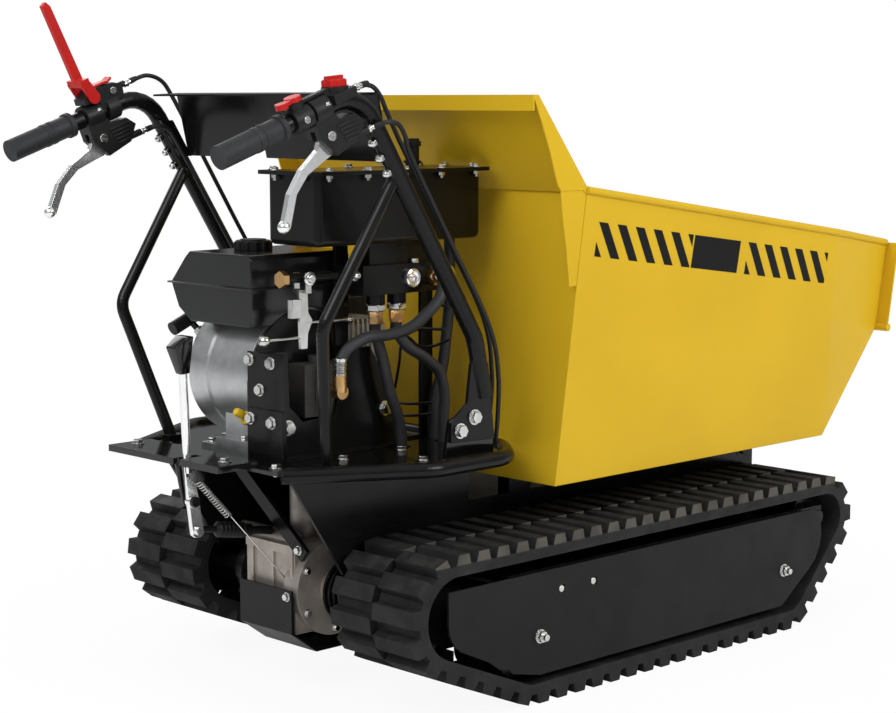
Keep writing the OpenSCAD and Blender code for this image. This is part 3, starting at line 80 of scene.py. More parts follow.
def seen_directly(tree):
    """1 for rays that show the background itself: camera and glass rays."""
    path = tree.nodes.new("ShaderNodeLightPath")
    either = tree.nodes.new("ShaderNodeMath")
    either.operation = "MAXIMUM"
    tree.links.new(path.outputs["Is Camera Ray"], either.inputs[0])
    tree.links.new(path.outputs["Is Transmission Ray"], either.inputs[1])
    return either.outputs[0]


def ramp(tree, value, low, high, start, end):
    """A value that goes smoothly from start to end as the input goes from low to high."""
    node = tree.nodes.new("ShaderNodeMapRange")
    node.interpolation_type = "SMOOTHSTEP"
    for name, number in (("From Min", low), ("From Max", high), ("To Min", start), ("To Max", end)):
        node.inputs[name].default_value = number
    tree.links.new(value, node.inputs["Value"])
    return node.outputs["Result"]


def overhead_glow(tree):
    """How bright the studio is in a direction: dim at the horizon, bright overhead."""
    way = tree.nodes.new("ShaderNodeTexCoord")
    parts = tree.nodes.new("ShaderNodeSeparateXYZ")
    tree.links.new(way.outputs["Generated"], parts.inputs[0])
    return ramp(tree, parts.outputs["Z"], 0.0, GLOW_HEIGHT, *GLOW)


def make_world():
    world = bpy.data.worlds.new("studio")
    bpy.context.scene.world = world
    world.use_nodes = True
    tree = world.node_tree
    tree.nodes.clear()
    fill = tree.nodes.new("ShaderNodeBackground")
    fill.inputs["Color"].default_value = FILL_TINT
    tree.links.new(overhead_glow(tree), fill.inputs["Strength"])
    white = tree.nodes.new("ShaderNodeBackground")
    white.inputs["Color"].default_value = (1, 1, 1, 1)
    white.inputs["Strength"].default_value = 1.0
    mix = tree.nodes.new("ShaderNodeMixShader")
    tree.links.new(seen_directly(tree), mix.inputs["Fac"])
    tree.links.new(fill.outputs[0], mix.inputs[1])
    tree.links.new(white.outputs[0], mix.inputs[2])
    output = tree.nodes.new("ShaderNodeOutputWorld")
    tree.links.new(mix.outputs[0], output.inputs["Surface"])


def make_light(name, place, aim, size, watts):
    data = bpy.data.lights.new(name, "AREA")
    data.shape = "DISK"
    data.size = size
    data.energy = watts
    light = bpy.data.objects.new(name, data)
    light.location = place
    light.rotation_euler = (Vector(aim) - Vector(place)).to_track_quat("-Z", "Y").to_euler()
    bpy.context.collection.objects.link(light)


def make_floor():
    """A pale floor that keeps the shadow near the carrier and turns white farther out."""
    mesh = bpy.data.meshes.new("floor")
    shape = bmesh.new()
    bmesh.ops.create_grid(shape, x_segments=1, y_segments=1, size=FLOOR_HALF)
    shape.to_mesh(mesh)
    shape.free()
    floor = bpy.data.objects.new("floor", mesh)
    bpy.context.collection.objects.link(floor)
    material = bpy.data.materials.new("pale_floor")
    material.use_nodes = True
    tree = material.node_tree
    tree.nodes.clear()
    pale = tree.nodes.new("ShaderNodeBsdfDiffuse")
    pale.inputs["Color"].default_value = FLOOR_TONE
    white = tree.nodes.new("ShaderNodeEmission")
    white.inputs["Strength"].default_value = 1.0
    place = tree.nodes.new("ShaderNodeTexCoord")
    far = tree.nodes.new("ShaderNodeVectorMath")
    far.operation = "LENGTH"
    share = tree.nodes.new("ShaderNodeMath")
    share.operation = "MULTIPLY"
    mix = tree.nodes.new("ShaderNodeMixShader")
    output = tree.nodes.new("ShaderNodeOutputMaterial")
    tree.links.new(place.outputs["Object"], far.inputs[0])
    fade = ramp(tree, far.outputs["Value"], *SHADOW_REACH, *SHADOW_WHITE)
    tree.links.new(fade, share.inputs[0])
    tree.links.new(seen_directly(tree), share.inputs[1])
    tree.links.new(share.outputs[0], mix.inputs["Fac"])
    tree.links.new(pale.outputs[0], mix.inputs[1])
    tree.links.new(white.outputs[0], mix.inputs[2])
    tree.links.new(mix.outputs[0], output.inputs["Surface"])
    mesh.materials.append(material)


make_camera()
make_world()
make_floor()
make_light("key", (0.9, -4.2, 3.0), (0.1, 0, 0.45), 2.6, 110)
make_light("back_fill", (-3.4, -0.7, 3.2), (-0.1, 0, 0.5), 2.4, 80)
make_light("far_fill", (0.6, 4.2, 3.0), (0, 0, 0.4), 3.0, 60)
bpy.context.scene.view_settings.view_transform = "Standard"


# Finishes

class Finish:
    """One material: a Principled surface whose colour, roughness and bump come from nodes."""

    def __init__(self, name, metallic=0.0, specular=0.5, edge=0.0012):
        self.material = bpy.data.materials.new(name)
        self.material.use_nodes = True
        self.tree = self.material.node_tree
        self.surface = self.tree.nodes["Principled BSDF"]
        self.surface.inputs["Metallic"].default_value = metallic
        self.surface.inputs["Specular IOR Level"].default_value = specular
        self.place = self.add("ShaderNodeTexCoord").outputs["Object"]
        self.bevel = self.add("ShaderNodeBevel", samples=4)
        self.bevel.inputs["Radius"].default_value = edge
        self.normal = self.bevel.outputs["Normal"]

    def add(self, kind, **settings):
        node = self.tree.nodes.new(kind)
        for key, value in settings.items():
            setattr(node, key, value)
        return node

    def link(self, output, socket):
        self.tree.links.new(output, socket)

    def math(self, operation, first, second):
        node = self.add("ShaderNodeMath", operation=operation)
        for socket, value in zip(node.inputs, (first, second)):
            if isinstance(value, (int, float)):
                socket.default_value = value
            else:
                self.link(value, socket)
        return node.outputs[0]

    def stretched(self, scale):
        """The surface's coordinates, drawn out along an axis by a small factor of that axis."""
        node = self.add("ShaderNodeMapping")
        node.inputs["Scale"].default_value = scale
        self.link(self.place, node.inputs["Vector"])
        return node.outputs["Vector"]

    def noise(self, scale, detail=3.0, stretch=None):
        """Noise from 0 to 1, with its scale in grains a metre."""
        node = self.add("ShaderNodeTexNoise")
        node.inputs["Scale"].default_value = scale
        node.inputs["Detail"].default_value = detail
        self.link(self.stretched(stretch) if stretch else self.place, node.inputs["Vector"])
        return node.outputs["Fac"]

    def spread(self, value, low, high, start=0.0, end=1.0):
        """A value from start to end as the input goes from low to high."""
        return ramp(self.tree, value, low, high, start, end)

    def blend(self, share, first, second):
        node = self.add("ShaderNodeMix", data_type="RGBA")
        self.link(share, node.inputs[0])
        for socket, value in ((node.inputs[6], first), (node.inputs[7], second)):
            if isinstance(value, tuple):
                socket.default_value = (*value, 1)
            else:
                self.link(value, socket)
        return node.outputs[2]

    def edges(self, low=0.02, high=0.25):
        """1 on the sharp edges of a solid, 0 on its flat faces."""
        flat = self.add("ShaderNodeNewGeometry").outputs["Normal"]
        dot = self.add("ShaderNodeVectorMath", operation="DOT_PRODUCT")
        self.link(flat, dot.inputs[0])
        self.link(self.normal, dot.inputs[1])
        return self.spread(self.math("SUBTRACT", 1.0, dot.outputs["Value"]), low, high)

    def bump(self, height, distance, strength=1.0):
        node = self.add("ShaderNodeBump")
        node.inputs["Strength"].default_value = strength
        node.inputs["Distance"].default_value = distance
        self.link(height, node.inputs["Height"])
        self.link(self.normal, node.inputs["Normal"])
        self.normal = node.outputs["Normal"]

    def done(self, colour, roughness):
        self.link(colour, self.surface.inputs["Base Color"])
        self.link(roughness, self.surface.inputs["Roughness"])
        self.link(self.normal, self.surface.inputs["Normal"])
        return self.material


def paint(name, colour, shade, worn, rough, specular, peel=0.00003):
    """Sprayed or powder-coated sheet: soft colour drift, orange peel and paint thinned at the edges."""
    f = Finish(name, specular=specular, edge=0.0016)
    edge = f.math("MULTIPLY", f.edges(), f.spread(f.noise(55, 5.0), 0.45, 0.7))
    body = f.blend(f.spread(f.noise(3.5, 4.0), 0.3, 0.7), colour, shade)
    worn_body = f.blend(edge, body, worn)
    roughness = f.spread(f.noise(24, 5.0), 0.3, 0.7, rough[0], rough[1])
    f.bump(f.noise(620, 2.0), peel)
    return f.done(worn_body, roughness)


def moulding(name, colour, shade, rough, specular, grain, depth):
    """Moulded plastic or rubber: fine surface grain, faint streaks and a paler rubbed edge."""
    f = Finish(name, specular=specular, edge=0.0018)
    paler_mark = tuple(2.2 * c + 0.004 for c in colour)
    body = f.blend(f.spread(f.noise(9, 5.0), 0.3, 0.7), colour, shade)
    edge = f.math("MULTIPLY", f.edges(), f.spread(f.noise(70, 4.0), 0.4, 0.7))
    roughness = f.spread(f.noise(40, 4.0), 0.3, 0.7, rough[0], rough[1])
    f.bump(f.noise(grain, 2.0), depth)
    return f.done(f.blend(edge, body, paler_mark), roughness)


def metal(name, colour, shade, rough, grain, depth, metallic=1.0, stretch=None):
    """Bare or plated metal: cloudy tone, fine grain and brighter rubbed edges."""
    f = Finish(name, metallic=metallic, edge=0.0009)
    bright = tuple(min(1.0, 1.25 * c) for c in colour)
    body = f.blend(f.spread(f.noise(34, 5.0), 0.3, 0.7), colour, shade)
    roughness = f.spread(f.noise(90, 4.0, stretch), 0.25, 0.75, rough[0], rough[1])
    edge = f.edges()
    f.bump(f.noise(grain, 3.0, stretch), depth)
    return f.done(f.blend(edge, body, bright), roughness)


def tread_rubber():
    """Track rubber: dull black, with a little dry dust on what faces up, and a brown on the lug flanks
    of the upper run that is partly dust and partly painted light, kept to the run where the light falls.
    """
    f = Finish("track_rubber", specular=0.22, edge=0.0022)
    normal = f.add("ShaderNodeNewGeometry").outputs["Normal"]
    parts = f.add("ShaderNodeSeparateXYZ")
    f.link(normal, parts.inputs[0])
    place = f.add("ShaderNodeSeparateXYZ")
    f.link(f.place, place.inputs[0])
    body = f.blend(f.spread(f.noise(16, 6.0), 0.3, 0.7), (0.011, 0.011, 0.0115), (0.018, 0.018, 0.018))
    # Painted light: the flank brown is kept to the upper run, where the light falls; it stands partly
    # for dust and partly for that light.
    top_run = f.spread(place.outputs["Z"], 0.242, 0.245)
    flank = f.spread(f.math("ABSOLUTE", parts.outputs["Y"], 0.0), 0.6, 0.9)
    patches = f.spread(f.noise(24, 6.0), 0.3, 0.6, 0.55, 1.0)
    paler_mark = f.math("MULTIPLY", f.math("MULTIPLY", top_run, flank), patches)
    dust = f.math("MULTIPLY", f.spread(parts.outputs["Z"], -0.3, 1.0, 0.06, 0.42),
                  f.spread(f.noise(42, 7.0), 0.42, 0.72))
    # The brown (0.085, 0.077, 0.064) on the upper-run lug flanks is partly dust and partly painted
    # light.
    dust_and_painted_light = f.blend(paler_mark, f.blend(dust, body, (0.05, 0.046, 0.04)), (0.085, 0.077, 0.064))
    edge = f.math("MULTIPLY", f.edges(), f.spread(f.noise(60, 4.0), 0.4, 0.75, 0.0, 0.7))
    roughness = f.spread(f.noise(28, 5.0), 0.3, 0.7, 0.58, 0.8)
    f.bump(f.noise(420, 3.0), 0.00012)
    f.bump(f.noise(36, 3.0), 0.0006)
    return f.done(f.blend(edge, dust_and_painted_light, (0.05, 0.05, 0.05)), roughness)


def ribbed_hose(name, colour, shade):
    """Pressure hose: satin rubber with the imprint of its wrapping cloth."""
    f = Finish(name, specular=0.35, edge=0.0005)
    body = f.blend(f.spread(f.noise(18, 5.0), 0.3, 0.7), colour, shade)
    wrap = f.add("ShaderNodeTexWave", wave_type="BANDS", bands_direction="DIAGONAL")
    wrap.inputs["Scale"].default_value = 190
    wrap.inputs["Distortion"].default_value = 1.5
    f.link(f.place, wrap.inputs["Vector"])
    roughness = f.spread(f.noise(60, 4.0), 0.3, 0.7, 0.42, 0.58)
    f.bump(wrap.outputs["Fac"], 0.00008)
    f.bump(f.noise(700, 2.0), 0.00004)
    return f.done(body, roughness)


def vinyl():
    """Cut film of the side stripes: satin black with a few scuffs."""
    f = Finish("stripe_vinyl", specular=0.12, edge=0.0002)
    scuff = f.spread(f.noise(30, 8.0, (1.0, 1.0, 6.0)), 0.6, 0.78, 0.0, 0.6)
    roughness = f.spread(f.noise(50, 4.0), 0.3, 0.7, 0.36, 0.5)
    f.bump(f.noise(260, 2.0), 0.00002)
    return f.done(f.blend(scuff, (0.006, 0.006, 0.0065), (0.014, 0.014, 0.013)), roughness)


FINISHES = {
    "yellow_paint": paint("yellow_paint", (0.662, 0.418, 0.017), (0.620, 0.388, 0.015),
                          (0.74, 0.49, 0.05), (0.34, 0.46), 0.12),
    "black_paint": paint("black_paint", (0.0048, 0.0048, 0.0047), (0.0068, 0.0068, 0.0064),
                         (0.035, 0.035, 0.035), (0.15, 0.24), 0.19),
    "deck_gloss": paint("deck_gloss", (0.0040, 0.0040, 0.0038), (0.0055, 0.0055, 0.0052),
                        (0.035, 0.035, 0.035), (0.06, 0.12), 0.42),
    "cover_paint": paint("cover_paint", (0.0072, 0.0072, 0.0072), (0.0096, 0.0096, 0.0096),
                         (0.045, 0.045, 0.045), (0.4, 0.52), 0.16),
    "track_rubber": tread_rubber(),
    "grip_rubber": moulding("grip_rubber", (0.017, 0.018, 0.020), (0.022, 0.023, 0.025),
                            (0.5, 0.64), 0.3, 520, 0.0001),
    "hose_rubber": ribbed_hose("hose_rubber", (0.022, 0.023, 0.026), (0.030, 0.031, 0.034)),
    "cable_jacket": moulding("cable_jacket", (0.007, 0.007, 0.008), (0.010, 0.010, 0.011),
                             (0.36, 0.5), 0.3, 600, 0.00003),
    "black_plastic": moulding("black_plastic", (0.0075, 0.0078, 0.0082), (0.0105, 0.0108, 0.0112),
                              (0.36, 0.5), 0.22, 480, 0.00006),
    "tank_plastic": moulding("tank_plastic", (0.0068, 0.007, 0.0073), (0.0085, 0.0087, 0.009),
                             (0.15, 0.24), 0.45, 480, 0.00003),
    "red_plastic": moulding("red_plastic", (0.50, 0.012, 0.009), (0.44, 0.010, 0.008),
                            (0.3, 0.42), 0.2, 420, 0.00003),
    "chrome": metal("chrome", (0.90, 0.90, 0.90), (0.84, 0.84, 0.84), (0.1, 0.18), 240, 0.00002, 0.88),
    "zinc": metal("zinc", (0.66, 0.66, 0.645), (0.55, 0.55, 0.53), (0.13, 0.24), 520, 0.00003),
    "alloy": metal("alloy", (0.54, 0.545, 0.55), (0.47, 0.475, 0.48), (0.3, 0.44), 520, 0.00005, 0.9),
    "gear_casting": metal("gear_casting", (0.46, 0.41, 0.365), (0.36, 0.32, 0.285), (0.4, 0.56),
                          330, 0.0002, 0.55),
    "heat_black": metal("heat_black", (0.035, 0.034, 0.033), (0.052, 0.046, 0.042), (0.55, 0.7),
                        380, 0.0001, 0.4),
    "brass": metal("brass", (0.66, 0.42, 0.19), (0.56, 0.33, 0.14), (0.24, 0.38), 420, 0.00003),
    "stripe_vinyl": vinyl(),
    "dipstick_yellow": moulding("dipstick_yellow", (0.78, 0.52, 0.012), (0.7, 0.45, 0.01),
                                (0.34, 0.46), 0.4, 420, 0.00003),
}

FINISH_NODES = {
    "yellow_paint": ["skip_tub"],
    "cover_paint": ["side_plate_left", "side_plate_right"],
    "deck_gloss": ["deck_plate", "rear_bumper"],
    "track_rubber": ["track_left", "track_right"],
    "grip_rubber": ["grip_left", "grip_right"],
    "black_plastic": ["shift_knob", "perch_left", "perch_right", "clutch_bracket", "throttle_housing",
                      "starter_handle", "fuel_cap"],
    "tank_plastic": ["fuel_tank"],
    "red_plastic": ["clutch_lever", "throttle_lever", "stop_knob"],
    "chrome": ["shift_lever", "hand_lever_left", "hand_lever_right", "cylinder_rod"],
    "zinc": ["valve_lever", "fasteners"],
    "alloy": ["engine_block", "recoil_housing"],
    "gear_casting": ["gearbox_case"],
    "heat_black": ["muffler", "hydraulic_pump"],
    "brass": ["hose_fittings"],
}
NODE_FINISH = {node: finish for finish, nodes in FINISH_NODES.items() for node in nodes}


def dress_nodes():
    """Every solid of the source takes its finish; what isn't named above is black powder coat."""
    for name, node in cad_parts.items():
        finish = FINISHES[NODE_FINISH.get(name, "black_paint")]
        if not node.material_slots:
            node.data.materials.append(finish)
        for slot in node.material_slots:
            slot.material = finish


# Piece builders

SHARP_ANGLE = math.radians(35)
TUBE_ROUNDING = 5


def add_piece(name, data, finish, body="base"):
    piece = bpy.data.objects.new(name, data)
    bpy.context.collection.objects.link(piece)
    data.materials.append(FINISHES[finish])
    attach(piece, body)
    return piece


def smooth_route(points, steps):
    """The smooth curve through given points that the source follows too."""
    route = []
    last = len(points) - 1
    for i in range(last):
        a, b, c, d = points[max(i - 1, 0)], points[i], points[i + 1], points[min(i + 2, last)]
        for k in range(steps):
            t = k / steps
            route.append(0.5 * (2 * b + (c - a) * t + (2 * a - 5 * b + 4 * c - d) * t ** 2
                                + (3 * b - 3 * c + d - a) * t ** 3))
    return route + [points[last]]


def tube(name, routes, radius, finish, body="base"):
    """Round tubes along routes, as one piece."""
    data = bpy.data.curves.new(name, "CURVE")
    data.dimensions = "3D"
    data.bevel_depth = radius
    data.bevel_resolution = TUBE_ROUNDING
    data.use_fill_caps = True
    for route in routes:
        spline = data.splines.new("POLY")
        spline.points.add(len(route) - 1)
        spline.use_smooth = True
        for point, place in zip(spline.points, route):
            point.co = (*place, 1)
    return add_piece(name, data, finish, body)


def frame_along(start, way):
    """A placing whose z axis runs along a direction."""
    return Matrix.Translation(start) @ Vector(way).to_track_quat("Z", "Y").to_matrix().to_4x4()


def loft(shape, rings):
    """Joins rings of corners into a closed skin, with a cap on both ends."""
    count = len(rings[0])
    for low, high in zip(rings, rings[1:]):
        for k in range(count):
            after = (k + 1) % count
            shape.faces.new((low[k], low[after], high[after], high[k]))
    shape.faces.new(list(reversed(rings[0])))
    shape.faces.new(rings[-1])


def turned(shape, profile, place, sides=32):
    """Adds a turned solid to a shape: profile points are (radius, height) along the placing's z axis."""
    rings = []
    for radius, height in profile:
        ring = []
        for k in range(sides):
            a = 2 * math.pi * k / sides
            corner = Vector((radius * math.cos(a), radius * math.sin(a), height))
            ring.append(shape.verts.new(place @ corner))
        rings.append(ring)
    loft(shape, rings)


def block(shape, corners, place):
    """Adds a box between two corners to a shape."""
    low, high = corners
    made = bmesh.ops.create_cube(shape, size=1.0)["verts"]
    for vert in made:
        vert.co = place @ Vector([low[i] if vert.co[i] < 0 else high[i] for i in range(3)])


def mesh_piece(name, shape, finish, body="base", soften=0.0, smooth=True):
    """Turns a built shape into a piece, with its hard edges softened."""
    bmesh.ops.recalc_face_normals(shape, faces=shape.faces)
    data = bpy.data.meshes.new(name)
    shape.to_mesh(data)
    shape.free()
    piece = add_piece(name, data, finish, body)
    if soften > 0:
        bevel = piece.modifiers.new("soften", "BEVEL")
        bevel.width = soften
        bevel.segments = 2
        bevel.limit_method = "ANGLE"
        bevel.angle_limit = SHARP_ANGLE
    if smooth:
        data.shade_smooth()
        data.set_sharp_from_angle(angle=SHARP_ANGLE)
    return piece


# Soft lines, on the routes of the source's solids

CABLE_R = 0.0035
WIRE_R = 0.0024
HOSE_R = 0.009
ROUTE_STEPS = 8
CLUTCH_CABLE = [at(-300, 257, 943.5), at(-282, 257, 950.5), at(-257, 257, 957), at(-230, 257, 949),
                at(-210, 257, 926), at(-170, 257, 862), at(-92, 257, 735), at(-10, 257, 600),
                at(22, 250, 500), at(30, 240, 420), at(30, 236, 385)]
LEFT_BRAKE_CABLE = [at(-277.6, 249, 868), at(-264, 245, 873), at(-250, 236, 877), at(-236, 233, 872),
                    at(-216, 232, 846), at(-117, 232, 690), at(-31, 232, 552), at(-14, 232, 480),
                    at(-10, 230, 420), at(-10, 228, 385)]
RIGHT_BRAKE_CABLE = [at(-251.2, -265, 877.5), at(-244, -272, 881), at(-226, -278, 887),
                     at(-206, -278, 884), at(-189, -274, 868), at(-170, -268, 836), at(-92, -265, 715),
                     at(-8, -265, 580), at(20, -258, 500), at(30, -246, 420), at(30, -240, 385)]
STOP_LEAD = [at(-263.5, -253, 936), at(-247, -252, 939.5), at(-229, -251, 936.5), at(-214, -250, 923),
             at(-203, -250, 903), at(-170, -250, 848), at(-92, -250, 728), at(-6, -250, 592),
             at(24, -240, 500), at(34, -224, 420), at(34, -220, 385)]
PRESSURE_HOSE = [at(4, -142, 645), at(4, -152, 645), at(-16, -164, 612), at(-62, -156, 574),
                 at(-100, -144, 562), at(-140, -136, 560), at(-172, -129, 545),
                 at(-186, -126.5, 525), at(-188, -126, 506)]
TIPPING_HOSE = [at(-54, -108, 576), at(-54, -108, 562), at(-38, -116, 536), at(-8, -124, 516),
                at(20, -126, 492), at(32, -126, 456), at(30, -126, 410), at(30, -126, 360)]
SUCTION_HOSE = [at(76, -92, 702), at(76, -92, 680), at(74, -94, 600), at(62, -92, 500), at(46, -88, 430),
                at(44, -88, 360)]
RETURN_HOSE = [at(-98, -108, 576), at(-98, -108, 562), at(-92, -118, 520), at(-80, -120, 470),
               at(-62, -122, 420), at(-56, -124, 360)]
CABLES = [CLUTCH_CABLE, LEFT_BRAKE_CABLE, RIGHT_BRAKE_CABLE, STOP_LEAD]
HOSES = [PRESSURE_HOSE, TIPPING_HOSE, SUCTION_HOSE, RETURN_HOSE]
WIRES = [[at(20, -149, 593), at(20, -124, 598), at(20, -104, 578), at(20, -83, 558), at(20, -54, 549),
          at(20, -36, 552)],
         [at(14, -145, 561), at(14, -110, 559), at(14, -83, 556), at(14, -54, 545), at(20, -30, 548)],
         [at(24, -147, 545), at(24, -110, 531), at(24, -76, 528), at(24, -50, 540), at(16, -30, 545)],
         [at(18, -62, 552), at(12, -48, 530), at(14, -40, 499), at(20, -23, 455)],
         [at(16, -30, 432), at(10, -76, 436), at(14, -117, 442)],
         [at(16, -30, 412), at(10, -76, 417), at(14, -117, 424)]]


def smooth_routes(lines):
    return [smooth_route(line, ROUTE_STEPS) for line in lines]


def make_soft_lines():
    cables = tube("cable_set", smooth_routes(CABLES), CABLE_R, "cable_jacket")
    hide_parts("control_cables")
    hoses = tube("hose_set", smooth_routes(HOSES), HOSE_R, "hose_rubber")
    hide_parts("hydraulic_hoses")


def make_wires():
    """Thin electric wires: looped and tied behind the hoses, and a pair low down beside the handle."""
    tube("wire_loops", smooth_routes(WIRES), WIRE_R, "cable_jacket")


def make_ferrules():
    """Crimped steel ends on the pressure hose, each with three pressed rings."""
    crimp = [(0.0094, 0.0), (0.0115, 0.001), (0.0115, 0.004)]
    for ring in range(3):
        base = 0.006 + ring * 0.006
        crimp += [(0.0106, base), (0.0106, base + 0.002), (0.0115, base + 0.003), (0.0115, base + 0.004)]
    crimp += [(0.0115, 0.026), (0.0094, 0.027)]
    shape = bmesh.new()
    route = smooth_route(PRESSURE_HOSE, ROUTE_STEPS)
    for end, inner in ((0, 1), (-1, -2)):
        turned(shape, crimp, frame_along(route[end], route[inner] - route[end]))
    mesh_piece("hose_ferrules", shape, "zinc")


UNION_X = (-98, -54)


def make_unions():
    """The valve's hose unions: a zinc-plated nut above a six-sided brass body."""
    nut = [(0.0146, 0.0), (0.0158, 0.001), (0.0158, 0.0095), (0.0146, 0.0105)]
    sleeve = [(0.0098, 0.0), (0.0126, 0.001), (0.0126, 0.0190), (0.0116, 0.0205)]
    nuts = bmesh.new()
    sleeves = bmesh.new()
    for x in UNION_X:
        turned(nuts, nut, Matrix.Translation(at(x, -108, 595.2)), 6)
        turned(sleeves, sleeve, Matrix.Translation(at(x, -108, 574.5)), 6)
    mesh_piece("union_nuts", nuts, "zinc", soften=0.0006)
    mesh_piece("union_sleeves", sleeves, "brass", soften=0.0006)


def make_valve_caps():
    """Plated caps on the valve's flank, the hexagon round its pressure port and a bolt on its foot."""
    acorn = [(0.0085, 0.0), (0.0085, 0.006), (0.0062, 0.0075), (0.0056, 0.012), (0.0034, 0.0148)]
    relief = [(0.0136, 0.0), (0.0146, 0.001), (0.0146, 0.007), (0.0118, 0.0085), (0.0108, 0.0065),
              (0.0052, 0.006), (0.0044, 0.009), (0.0020, 0.0095)]
    port = [(0.0146, 0.0), (0.0160, 0.001), (0.0160, 0.0105), (0.0146, 0.0115)]
    plated = bmesh.new()
    turned(plated, acorn, frame_along(at(-157, -122.6, 655), (0, -1, 0)), 28)
    turned(plated, relief, frame_along(at(-44, -130.1, 645), (0, -1, 0)), 32)
    hex_head(plated, frame_along(at(-33, -127, 668.1), (0, 0, 1)), 0.0058)
    mesh_piece("valve_caps", plated, "chrome")
    brass = bmesh.new()
    turned(brass, port, frame_along(at(4, -130.1, 645), (0, -1, 0)), 6)
    mesh_piece("port_hexagon", brass, "brass", soften=0.0006)


def make_lever_link():
    """The link rod pinned to the valve lever, with its end bolt, and the lever's stop block."""
    rod = [(0.0020, 0.0), (0.0026, 0.0006), (0.0026, 0.086), (0.0058, 0.0865), (0.0058, 0.093),
           (0.0050, 0.0938)]
    hub = [(0.0098, 0.0), (0.0105, 0.0008), (0.0105, 0.0035), (0.0064, 0.0042), (0.0064, 0.0085),
           (0.0052, 0.0095)]
    shape = bmesh.new()
    turned(shape, rod, frame_along(at(-241, -108, 588), (1, 0, -0.02)), 18)
    turned(shape, hub, frame_along(at(-244, -123.1, 655), (0, -1, 0)), 28)
    block(shape, (at(-268, -114, 596), at(-250, -102, 624)), Matrix.Identity(4))
    mesh_piece("lever_link", shape, "zinc", "spool_lever", soften=0.0008)


def make_cable_ends():
    """A threaded adjuster with a lock nut where a cable leaves its lever, and a short rubber boot."""
    barrel = [(0.0040, -0.004), (0.0052, -0.003), (0.0052, 0.005), (0.0042, 0.0055), (0.0042, 0.010)]
    boot = [(0.0038, 0.0095), (0.0049, 0.0105), (0.0047, 0.018), (0.0037, 0.024)]
    nut = [(0.0056, 0.0012), (0.0062, 0.0018), (0.0062, 0.0042), (0.0056, 0.0048)]
    steel = bmesh.new()
    rubber = bmesh.new()
    for route in smooth_routes(CABLES):
        place = frame_along(route[0], route[3] - route[0])
        turned(steel, barrel, place, 20)
        turned(steel, nut, place, 6)
        turned(rubber, boot, place, 20)
    mesh_piece("cable_adjusters", steel, "zinc")
    mesh_piece("cable_boots", rubber, "cable_jacket")


SPRING_FROM = at(-384, -34, 356)
SPRING_TO = at(-326, -34, 294)
SPRING_TURNS = 16
SPRING_R = 0.005
SPRING_WIRE_R = 0.0011
SPRING_HOOK = 0.008
SPRING_ROD = 0.154
SPRING_RING = 24


def make_spring():
    """The gear lever's return spring with its hook and pull rod, on the source's route."""
    way = SPRING_TO - SPRING_FROM
    length = way.length
    lean = Matrix.Rotation(math.atan2(way.x, way.z), 4, "Y")
    route = [Vector((0, 0, -SPRING_HOOK))]
    for i in range(SPRING_TURNS * SPRING_RING + 1):
        t = i / SPRING_RING
        a = 2 * math.pi * t
        along = length * t / SPRING_TURNS
        route.append(Vector((SPRING_R * math.sin(a), SPRING_R * (1 - math.cos(a)), along)))
    route.append(Vector((0, 0, length + SPRING_ROD)))
    placed = [SPRING_FROM + lean @ point for point in route]
    spring = tube("spring_wire", [placed], SPRING_WIRE_R, "zinc")
    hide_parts("shift_spring")


# Side stripes

SKIP_FLOOR_HALF = 300
SKIP_FLOOR_Z = 320
SKIP_FLARE = 28 / 461
STRIPE_START = (166.3, 677.3)
STRIPE_SLOPE = math.radians(7.47)
STRIPE_H = 54
STRIPE_W = 21.6
STRIPE_PITCH = 44.3
STRIPE_LEAN = 39
STRIPE_GROUPS = ((0, 236), (384, 617))
STRIPE_COUNT = 6
PLATE_SPAN = (240, 363)
FILM = (0.05, 0.35)


def wall_point(along, up, side, out):
    """A point on the skip's outer side wall, from a place in the stripe band."""
    x = STRIPE_START[0] + along * math.cos(STRIPE_SLOPE) + up * math.sin(STRIPE_SLOPE)
    z = STRIPE_START[1] - along * math.sin(STRIPE_SLOPE) + up * math.cos(STRIPE_SLOPE)
    half = SKIP_FLOOR_HALF + SKIP_FLARE * (z - SKIP_FLOOR_Z)
    return at(x, side * (half + out), z)


def cut_at(outline, edge, keep_above):
    """An outline without what lies on the wrong side of a vertical line."""
    kept = []
    for p, q in zip(outline, outline[1:] + outline[:1]):
        p_in = (p[0] >= edge) == keep_above
        if p_in:
            kept.append(p)
        if p_in != ((q[0] >= edge) == keep_above):
            t = (edge - p[0]) / (q[0] - p[0])
            kept.append((edge, p[1] + t * (q[1] - p[1])))
    return kept


def film_patch(shape, outline, side):
    """Adds one cut piece of film, as a thin closed sheet on the wall."""
    loft(shape, [[shape.verts.new(wall_point(along, up, side, out)) for along, up in outline]
                 for out in FILM])


def make_stripes():
    """Hazard stripes on both side walls, with the bare plate between the two groups."""
    for side, name in ((-1, "right"), (1, "left")):
        bars = bmesh.new()
        for start, end in STRIPE_GROUPS:
            for k in range(-1, STRIPE_COUNT):
                top = start + k * STRIPE_PITCH
                foot = top + STRIPE_LEAN
                outline = [(foot, 0), (foot + STRIPE_W, 0), (top + STRIPE_W, STRIPE_H), (top, STRIPE_H)]
                outline = cut_at(cut_at(outline, start, True), end, False)
                if len(outline) > 2:
                    film_patch(bars, outline, side)
        low, high = PLATE_SPAN
        film_patch(bars, [(low, 0), (high, 0), (high, STRIPE_H), (low, STRIPE_H)], side)
        mesh_piece("hazard_stripes_" + name, bars, "stripe_vinyl", "skip", smooth=False)


# Small trim

GRIP_CORNER = (-262, 257, 931)
GRIP_SLOPE = math.radians(19.8)
SHIFT_ELBOW = (-388, -10, 372)
SHIFT_WAY = Vector((-8, 0, 200)).normalized()
SHIFT_ROD = 0.14405
# Each lever perch: its side of the carrier and its place along the grip
PERCHES = ((1, -110), (-1, -82))
SLOT_SHARE = 0.14
SLOT_STEPS = 12


